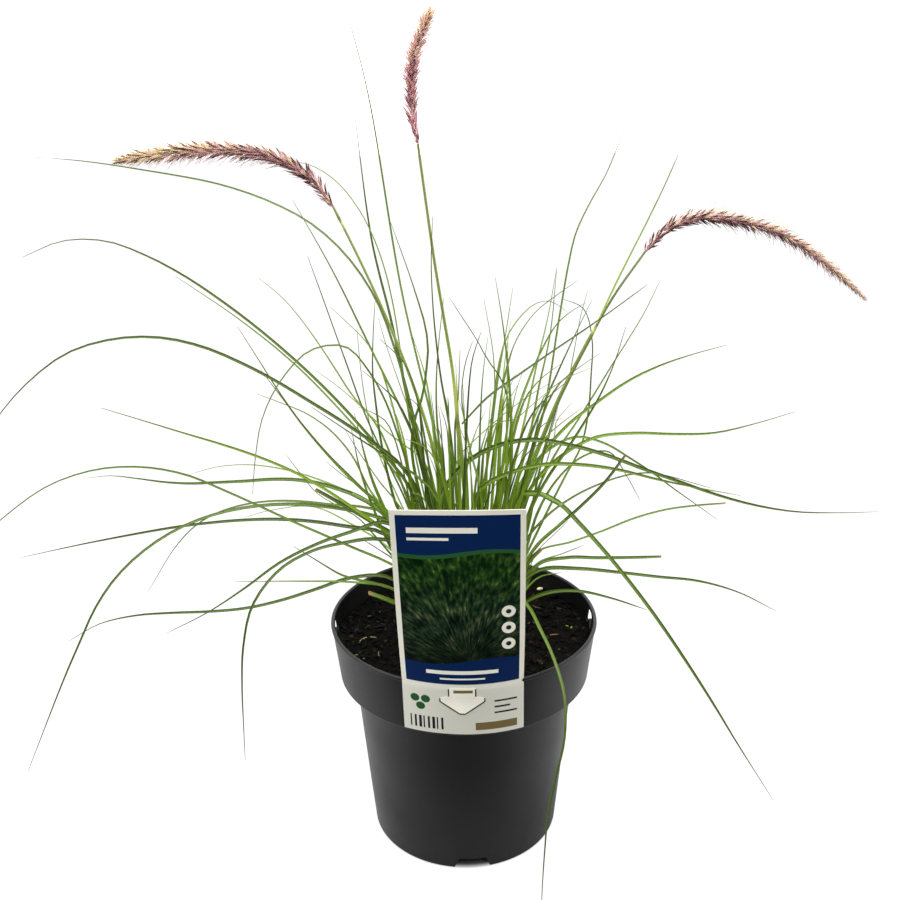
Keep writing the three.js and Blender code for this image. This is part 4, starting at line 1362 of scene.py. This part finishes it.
def build_fine_blades():
    """The finer blades, joined in one piece, and their sheaths."""
    blades, sheaths = [], []
    for heading, foot, width, tone, dry, path in FINE_BLADES:
        line = free_line(heading, foot, path, width)
        blades.append(add_blade(FINE_BLADE, "fine_blade", line, tone, dry))
        length = STOUT_SHEATH if width > STOUT else chance.uniform(*FINE_SHEATHS)
        foot_width = max(width, chance.uniform(*FINE_SHEATH_WIDTHS))
        sheaths.append(add_sheath(line, length * MM, foot_width * MM, 0.3 + 0.6 * tone))
    for heading, foot, width, tone, path in CUT_STUBS:
        line = free_line(heading, foot, path, width, STUB_TAPER)
        blades.append(add_blade(FINE_BLADE, "cut_stub", line, tone, 3, cut=True))
    finish(join_all(blades, "fine_blades"), LEAF_GREEN, "leaf_blade")
    return sheaths


# Inner blades, in millimetres. Heights are the least, the greatest and the likeliest, and the rest is from
# least to greatest.
INNER_BLADES = 54
INNER_HEIGHTS = (120, 290, 190)
INNER_REACHES = (0.02, 0.33)  # as shares of the height
INNER_SAGS = (0.85, 1.0)
INNER_WIDTHS = (2.4, 4.0)
INNER_DEAD_TIPS = (3, 9)
INNER_SHEATHS = (25, 80)
INNER_SHEATH_WIDTHS = (1.8, 2.8)
# Tone ranges, one picked at random for each blade: the dark range also paints the shade deep in the tuft
INNER_TONES = ((0.0, 0.4), (0.55, 1.0), (0.8, 1.3))


def build_inner_blades():
    """Shorter blades that fill the heart of the tuft, drawn at random about the crown."""
    blades, sheaths = [], []
    low = SOIL_HEIGHT / MM
    for _ in range(INNER_BLADES):
        turn = chance.uniform(0, 2 * math.pi)
        out = math.sqrt(chance.random()) * 0.9
        foot = ((CROWN_MIDDLE.x + out * CROWN_HALF_LENGTH * math.cos(turn)) / MM,
                (CROWN_MIDDLE.y + out * CROWN_HALF_DEPTH * math.sin(turn)) / MM)
        heading = math.degrees(turn) + chance.gauss(0, 30)
        height = chance.triangular(*INNER_HEIGHTS)
        reach = height * chance.uniform(*INNER_REACHES)
        sag = chance.uniform(*INNER_SAGS)
        path = [(reach * along, low + height * up) for along, up in ((0.16, 0.42), (0.5, 0.8), (1.0, sag))]
        line = free_line(heading, foot, path, chance.uniform(*INNER_WIDTHS))
        tone = chance.choice([chance.uniform(*tones) for tones in INNER_TONES])
        blades.append(add_blade(FINE_BLADE, "inner_blade", line, tone, chance.uniform(*INNER_DEAD_TIPS)))
        length = chance.uniform(*INNER_SHEATHS) * MM
        sheaths.append(add_sheath(line, length, chance.uniform(*INNER_SHEATH_WIDTHS) * MM, tone))
    finish(join_all(blades, "inner_blades"), LEAF_GREEN, "leaf_blade")
    return sheaths


# Stems and flower spikes. A culm is thicker below the height in millimetres to which a sheath wraps it,
# and its joints show as bands: attribute, height, half height and strength. The first band is swollen.
CULM_LOOKS = {
    "left": (0.55, 300, [("knot", 464, 1.3, 1.0), ("pale", 460, 2.2, 0.8)]),
    "centre": (0.75, 327, [("knot", 328, 3.0, 0.9), ("pale", 345, 20, 0.8)]),
    "right": (0.05, 378, [("pale", 378, 1.6, 1.0), ("knot", 384, 3.5, 0.5)]),
}
# A culm's width at its tip, what its foot, its wrap and its joint add to that, and half its joint's height
TIP_WIDTH = 1.75
FOOT_EXTRA = 1.9
WRAP_EXTRA = 0.9
JOINT_EXTRA = 0.5
JOINT_HALF = 2.5


def build_culm(side):
    """A flowering stem with swollen joints, thicker where a leaf sheath still wraps it."""
    line = stem_line(f"culm_{side}", 6)
    tone, wrapped_to, bands = CULM_LOOKS[side]
    heights = {}

    def height_at(along):
        if along not in heights:
            heights[along] = line.spot(along)[0].z / MM
        return heights[along]

    def band_at(along, middle, half):
        return math.exp(-(((height_at(along) - middle) / half) ** 2))

    def width_at(along):
        wrap = rise(height_at(along), wrapped_to, -4)
        swelling = band_at(along, bands[0][1], JOINT_HALF)
        foot = (1 - along) ** 1.4
        return (TIP_WIDTH + FOOT_EXTRA * foot + WRAP_EXTRA * wrap + JOINT_EXTRA * swelling) * MM

    culm = copy_of(CULM_TUBE, f"culm_{side}_stem")
    rows = [corner.co.y for corner in culm.data.vertices]
    for layer, middle, half, strength in bands:
        values = [strength * band_at(along, middle, half) for along in rows]
        culm.data.attributes[layer].data.foreach_set("value", values)
    lay_along(culm, line, width_at)
    paint(culm, "tone", tone)
    finish(culm, CULM_GREEN, "culm", f"culm_{side}")


# Burrs, each a spikelet with whiskers: how many, their greatest tilt in degrees, and their least and
# greatest length
BURRS = {"loose": (3, 13, (1.1, 1.6)), "close": (4, 15, (1.0, 1.5)), "bare": (1, 8, (0.8, 1.0))}
BURR_SHAPES = 3
GRAIN_SIZES = (0.2, 1, 0.17)
GRAIN_POINT = 0.24
WHISKER_ROOT = 0.07  # how far from the grain's middle line a whisker starts
WHISKER_RISE = 0.3  # the most that it starts above the grain's foot
WHISKER_RADII = {"radius1": 0.03, "radius2": 0.012}
WHISKER_TONES = (-0.15, 0.15)
# The shade of a grain at its foot, and how much of it is lost up to its tip
FOOT_SHADE = 0.35
SHADE_LOSS = 0.75


def burr_master(name, whiskers, spread, reach, seed):
    """One spikelet with its whiskers, pointing along +Y and one unit long.

    Its shade attribute runs from light at the foot to dark at the tip.
    """
    luck = random.Random(seed)
    along_y = {"rotation": (-math.pi / 2, 0, 0), "location": (0, 0.5, 0)}
    grain = add_piece("uv_sphere", "grain", segments=5, ring_count=5, radius=0.5, **along_y)
    open_edit(grain)
    resize(GRAIN_SIZES, ORIGIN)
    pick(grain, lambda spot: spot.y > 0.95)
    shift(0, GRAIN_POINT, 0)
    close_edit()
    for layer in ("tone", "shade"):
        paint(grain, layer, 0)
    shades = [FOOT_SHADE - SHADE_LOSS * min(1.0, corner.co.y) for corner in grain.data.vertices]
    grain.data.attributes["shade"].data.foreach_set("value", shades)
    grain.data.materials.append(SPIKELET)
    parts = [grain]
    for index in range(whiskers):
        whisker = add_piece("cone", "whisker", vertices=3, depth=1, **WHISKER_RADII, **along_y)
        length = luck.uniform(*reach)
        tilt = luck.uniform(0.2, 1.0) * math.radians(spread)
        around = 2 * math.pi * (index + luck.uniform(-0.3, 0.3)) / whiskers
        turn = Matrix.Rotation(around, 4, "Y") @ Matrix.Rotation(tilt, 4, "X")
        root = Vector((math.sin(around), 0, math.cos(around))) * WHISKER_ROOT
        root.y = luck.uniform(0.0, WHISKER_RISE)
        whisker.data.transform(Matrix.Translation(root) @ turn @ Matrix.Diagonal((1, length, 1, 1)))
        paint(whisker, "tone", luck.uniform(*WHISKER_TONES))
        paint(whisker, "shade", 0)
        whisker.data.materials.append(BRISTLE)
        parts.append(whisker)
    burr = join_all(parts, name)
    smooth(burr)
    return burr


# Flower spikes: their burrs and their spikelets' material, then millimetres from burr to burr, burr length
# at the foot and at the tip, least and greatest tilt in degrees, the tones of spikelets and of whiskers at
# the foot and at the tip, how dark the spikelets' tips are, and how much yellower the upper side's whiskers
# are, as painted light from above
SPIKE_LOOKS = {
    "left": ("loose", SPIKELET, 0.85, (9.6, 10.6), (18, 40), (0.4, 0.64), (0.4, 1.05), 1.25, 0.15),
    "centre": ("close", SPIKELET_ROSE, 0.75, (7.6, 8.6), (13, 31), (0.42, 0.96), (0.22, 0.8), 0.85, 0.1),
    "right": ("loose", SPIKELET, 0.95, (10.6, 6.4), (16, 36), (0.3, 1.02), (0.45, 0.62), 1.25, 0.45),
}
GOLDEN_TURN = math.radians(137.5)
TURN_SCATTER = 0.12
SIZE_SCATTER = 0.12
GRAIN_SCATTER = 0.22
WHISKER_SCATTER = 0.08
LEAST_WHISKER_TONE = 0.25
BARE_FOOT = 0.2  # the share of a spike, from its foot, that has bare burrs
BURR_STAND_OFF = 0.7 * MM


def tone_burr(burr, grain_tone, whisker_tone, contrast):
    """Sets the tone of one burr's spikelet, darker towards its tip, and of its whiskers."""
    on_whisker = {corner for polygon in burr.data.polygons if polygon.material_index
                  for corner in polygon.vertices}
    shades = burr.data.attributes["shade"].data
    for corner, entry in enumerate(burr.data.attributes["tone"].data):
        if corner in on_whisker:
            entry.value += whisker_tone
        else:
            entry.value = grain_tone + contrast * shades[corner].value


def build_spike(side, burrs):
    """A flower spike: burrs set in a tight screw round the stalk, smaller towards both ends."""
    kind, grain, step, sizes, tilts, grain_tones, whisker_tones, contrast, painted_top_light = SPIKE_LOOKS[side]
    line = stem_line(f"spike_{side}", 8)
    count = round(line.length() / (step * MM))
    copies = []
    for index in range(count):
        along = (index + 0.5) / count
        spot, across, face = line.at(along)
        ahead = line.spot(along)[1]
        turn = index * GOLDEN_TURN + chance.gauss(0, TURN_SCATTER)
        outwards = across * math.cos(turn) + face * math.sin(turn)
        # Burrs are smaller towards both ends, and lie closer to the stalk towards the tip
        full = min(1.0, 0.6 + 3.0 * along, 0.6 + 2.4 * (1 - along))
        angle = math.radians(chance.uniform(*tilts)) * min(1.0, 0.45 + 2.5 * (1 - along))
        point = (ahead * math.cos(angle) + outwards * math.sin(angle)).normalized()
        flat = point.cross(outwards).normalized()
        turned = Matrix((flat, point, flat.cross(point))).transposed().to_4x4()
        burr = copy_of(chance.choice(burrs[kind if along > BARE_FOOT else "bare"]), "burr")
        size = between(sizes, along) * chance.uniform(1 - SIZE_SCATTER, 1 + SIZE_SCATTER) * MM * full
        place = Matrix.Translation(spot + outwards * BURR_STAND_OFF)
        burr.data.transform(place @ turned @ Matrix.Scale(size, 4))
        grain_tone = between(grain_tones, along) + chance.gauss(0, GRAIN_SCATTER)
        # Whiskers that face upwards get a yellower tone: painted light from above
        whisker_tone = max(LEAST_WHISKER_TONE, between(whisker_tones, along) + painted_top_light * outwards.z)
        tone_burr(burr, grain_tone, whisker_tone + chance.gauss(0, WHISKER_SCATTER), contrast)
        copies.append(burr)
    finish(join_all(copies, f"spike_{side}_burrs"), (grain, BRISTLE), "flower_spike", f"spike_{side}")


def build_stalk(side):
    """The thin stalk inside a flower spike."""
    stalk = copy_of(SHEATH_TUBE, f"spike_{side}_stalk")
    lay_along(stalk, stem_line(f"spike_{side}", 8), lambda along: (1.7 - 1.2 * along) * MM)
    paint(stalk, "tone", 0.45)
    finish(stalk, SPIKELET, "flower_spike")


MOUND_LUMPS = 0.12  # as a share of its size


def build_crown(sheaths):
    """The mound of shoot bases, with every sheath that rises from it."""
    mound = add_piece("uv_sphere", "mound", segments=48, ring_count=24, radius=1)
    open_edit(mound)
    bpy.ops.mesh.bisect(plane_co=(0, 0, -0.2), plane_no=(0, 0, 1), clear_inner=True, use_fill=True)
    close_edit()
    foot = Vector((CROWN_MIDDLE.x, CROWN_MIDDLE.y, crown_low.z))
    sizes = Vector((CROWN_HALF_LENGTH, CROWN_HALF_DEPTH, CROWN_RISE - MM))
    reshape(mound, lambda spot: foot + spot * sizes * (1 + MOUND_LUMPS * noise.noise(spot * 5)))
    smooth(mound)
    finish(mound, SOIL_DARK, "shoot_base", "crown")
    finish(join_all(sheaths, "shoot_sheaths"), SHEATH_GREEN, "shoot_base")


# Label


def card_spot(across, along, outwards):
    """A place on the card's curved back: across and along in metres, outwards in front of it."""
    above_rim = max(0.0, (along - CREASE_HEIGHT) / (CARD_LENGTH - CREASE_HEIGHT))
    bend = (1 - above_rim) / LIP_RADIUS + above_rim / CARD_TOP_RADIUS
    radius = 1 / bend
    lean = math.radians(CARD_LEAN)
    front = COLLAR_FOOT_RADIUS + CARD_STAND_OFF + along * math.sin(lean)
    height = CARD_FOOT_HEIGHT + along * math.cos(lean)
    drift = CARD_DRIFT * (along - CREASE_HEIGHT)
    turn = across * bend
    reach = radius + outwards
    forward = front - radius + reach * math.cos(turn)
    return rotation(CARD_TURN) @ Vector((drift + reach * math.sin(turn), -forward, height))


def card_warp(across, along):
    """How far the card stands out of its plain curve: a crease at the rim and a slight wave."""
    crease = CARD_SWELL * math.exp(-(((along - CREASE_HEIGHT) / CREASE_HALF_WIDTH) ** 2))
    wave = CARD_WAVE * noise.noise(Vector((across, along, 0)) * 30)
    return CARD_SWELL - crease + wave


def build_arrow(name, material, margin, above, curl):
    """A thin arrow that points down on the card. It is larger by the margin, and its tip curls out."""
    arrow = add_piece("plane", name, size=1)
    neck = SHAFT_WIDTH + 2 * margin
    head = HEAD_WIDTH + 2 * margin
    open_edit(arrow)
    resize((neck, SHAFT_LENGTH, 1))
    shift(0, SHAFT_FOOT + SHAFT_LENGTH / 2, 0)
    pick(arrow, lambda spot: spot.y < SHAFT_FOOT + MM)
    for down, share in ((SHOULDER_DROP, head / neck), (HEAD_DROP, 1), (POINT_DROP + margin, POINT_SHARE)):
        bpy.ops.mesh.extrude_region_move(TRANSFORM_OT_translate={"value": (0, -down, 0)})
        resize((share, 1, 1), ORIGIN)
    bpy.ops.mesh.select_all(action="SELECT")
    bpy.ops.mesh.subdivide(number_cuts=3)
    close_edit()
    apply_modifier(arrow, "SOLIDIFY", thickness=ARROW_THICKNESS, offset=1)
    clean_normals(arrow)

    def press(spot):
        lift = curl * max(0.0, (CURL_START - spot.y) / CURL_RUN) ** 2
        outwards = spot.z + CARD_THICKNESS + CARD_SWELL + above + lift
        return card_spot(spot.x + ARROW_SHIFT, spot.y - margin, outwards)

    reshape(arrow, press)
    smooth(arrow, 40)
    finish(arrow, material, "label_card")


def build_label():
    """The printed card with a nick beside its crease, and its die-cut arrow over a dark sheet a little larger,
    as painted shadow in the cut.
    """
    columns, rows = CARD_CELLS
    card = add_piece("grid", "label_card", x_subdivisions=columns, y_subdivisions=rows, size=1)
    nick = CREASE_HEIGHT / CARD_LENGTH - 0.5
    open_edit(card)
    pick(card, lambda spot: spot.x > 0.49 and abs(spot.y - nick) < 0.006)
    shift(-NICK_DEPTH, 0, 0)
    close_edit()
    apply_modifier(card, "SOLIDIFY", thickness=CARD_THICKNESS, offset=1)

    def bend(spot):
        across, along = spot.x * CARD_WIDTH, (spot.y + 0.5) * CARD_LENGTH
        return card_spot(across, along, spot.z + card_warp(across, along))

    reshape(card, bend)
    smooth(card, 40)
    finish(card, CARD_PRINT, "label_card", "plant_label")
    # A dark sheet under the arrow paints the shadow in the cut round it
    build_arrow("slit_shadow_sheet", SLIT_PAINTED_SHADOW, SLIT_MARGIN, 0.05 * MM, 0.0)
    build_arrow("label_tongue", TONGUE_CARD, 0.0, 0.45 * MM, TONGUE_CURL)


# Stage


def build_stage():
    """The floor: evenly white to the eye, except close under the pot, where its glow fades out to a painted
    shade.
    """
    floor = add_piece("plane", "floor", size=14)
    material, tree, shader = new_material("floor_white", 0.8, 0.0)
    camera_ray = add_node(tree, "ShaderNodeLightPath").outputs["Is Camera Ray"]
    place = own_place(tree)
    bounce = remap(axes_of(place)["Y"], *FLOOR_DIMS, FLOOR_NEAR, FLOOR_FAR)
    level = plus(bounce, times(camera_ray, minus(FLOOR_SEEN, bounce)))
    away = add_node(tree, "ShaderNodeVectorMath", {0: place}, operation="LENGTH").outputs["Value"]
    # The glow fades out towards the pot: painted shade close under it
    glow = times(maths("POWER", remap(away, GLOW_START, GLOW_FULL), 2.0), FLOOR_GLOW)
    feed(shader.inputs["Base Color"], grey_of(level))
    feed(shader.inputs["Emission Color"], (1, 1, 1))
    feed(shader.inputs["Emission Strength"], times(camera_ray, glow))
    floor.data.materials.append(material)


def add_lamp(name, place, size, power):
    lamp = bpy.data.lights.new(name, "AREA")
    lamp.shape = "RECTANGLE"
    lamp.size, lamp.size_y = size
    lamp.energy = power
    holder = bpy.data.objects.new(name, lamp)
    holder.location = place
    holder.rotation_euler = (Vector(LAMP_TARGET) - Vector(place)).to_track_quat("-Z", "Y").to_euler()
    bpy.context.scene.collection.objects.link(holder)


def light_scene():
    """A white surround that is dim towards the camera's side, with soft lamps at the sides and above."""
    scene = bpy.context.scene
    world = bpy.data.worlds.new("studio")
    world.use_nodes = True
    scene.world = world
    tree = world.node_tree
    tree.nodes.clear()
    parts = axes_of(add_node(tree, "ShaderNodeTexCoord").outputs["Generated"])
    level = plus(remap(parts["Y"], -0.75, 0.6, FRONT_LEVEL, BACK_LEVEL),
                 remap(parts["Z"], 0.2, 0.9, 0.0, TOP_LEVEL))
    camera_ray = add_node(tree, "ShaderNodeLightPath").outputs["Is Camera Ray"]
    inputs = {"Color": (1, 1, 1), "Strength": maths("MAXIMUM", level, camera_ray)}
    shade = add_node(tree, "ShaderNodeBackground", inputs)
    add_node(tree, "ShaderNodeOutputWorld", {"Surface": shade.outputs[0]})
    for name, looks in LAMPS.items():
        add_lamp(name, *looks)
    scene.view_settings.view_transform = "Standard"
    scene.view_settings.look = "None"


def add_camera():
    data = bpy.data.cameras.new("photo_camera")
    data.lens = CAMERA_LENS
    data.sensor_width = SENSOR_WIDTH
    data.clip_start = 0.01
    camera = bpy.data.objects.new("photo_camera", data)
    turn = rotation(-CAMERA_YAW) @ rotation(90 - CAMERA_PITCH, "X") @ rotation(CAMERA_ROLL)
    camera.matrix_world = Matrix.Translation(CAMERA_PLACE) @ turn
    bpy.context.scene.collection.objects.link(camera)
    bpy.context.scene.camera = camera


# The whole object

add_camera()
build_pot()
build_soil()
build_chips()
build_litter()
build_crown(build_leaves() + build_fine_blades() + build_inner_blades())
burrs = {kind: [burr_master(f"{kind}_burr", *looks, seed) for seed in range(BURR_SHAPES)]
         for kind, looks in BURRS.items()}
for side in SPIKE_LOOKS:
    build_culm(side)
    build_stalk(side)
    build_spike(side, burrs)
build_label()
drop(WIDE_BLADE, FINE_BLADE, SHEATH_TUBE, CULM_TUBE, *sum(burrs.values(), []))
build_stage()
light_scene()
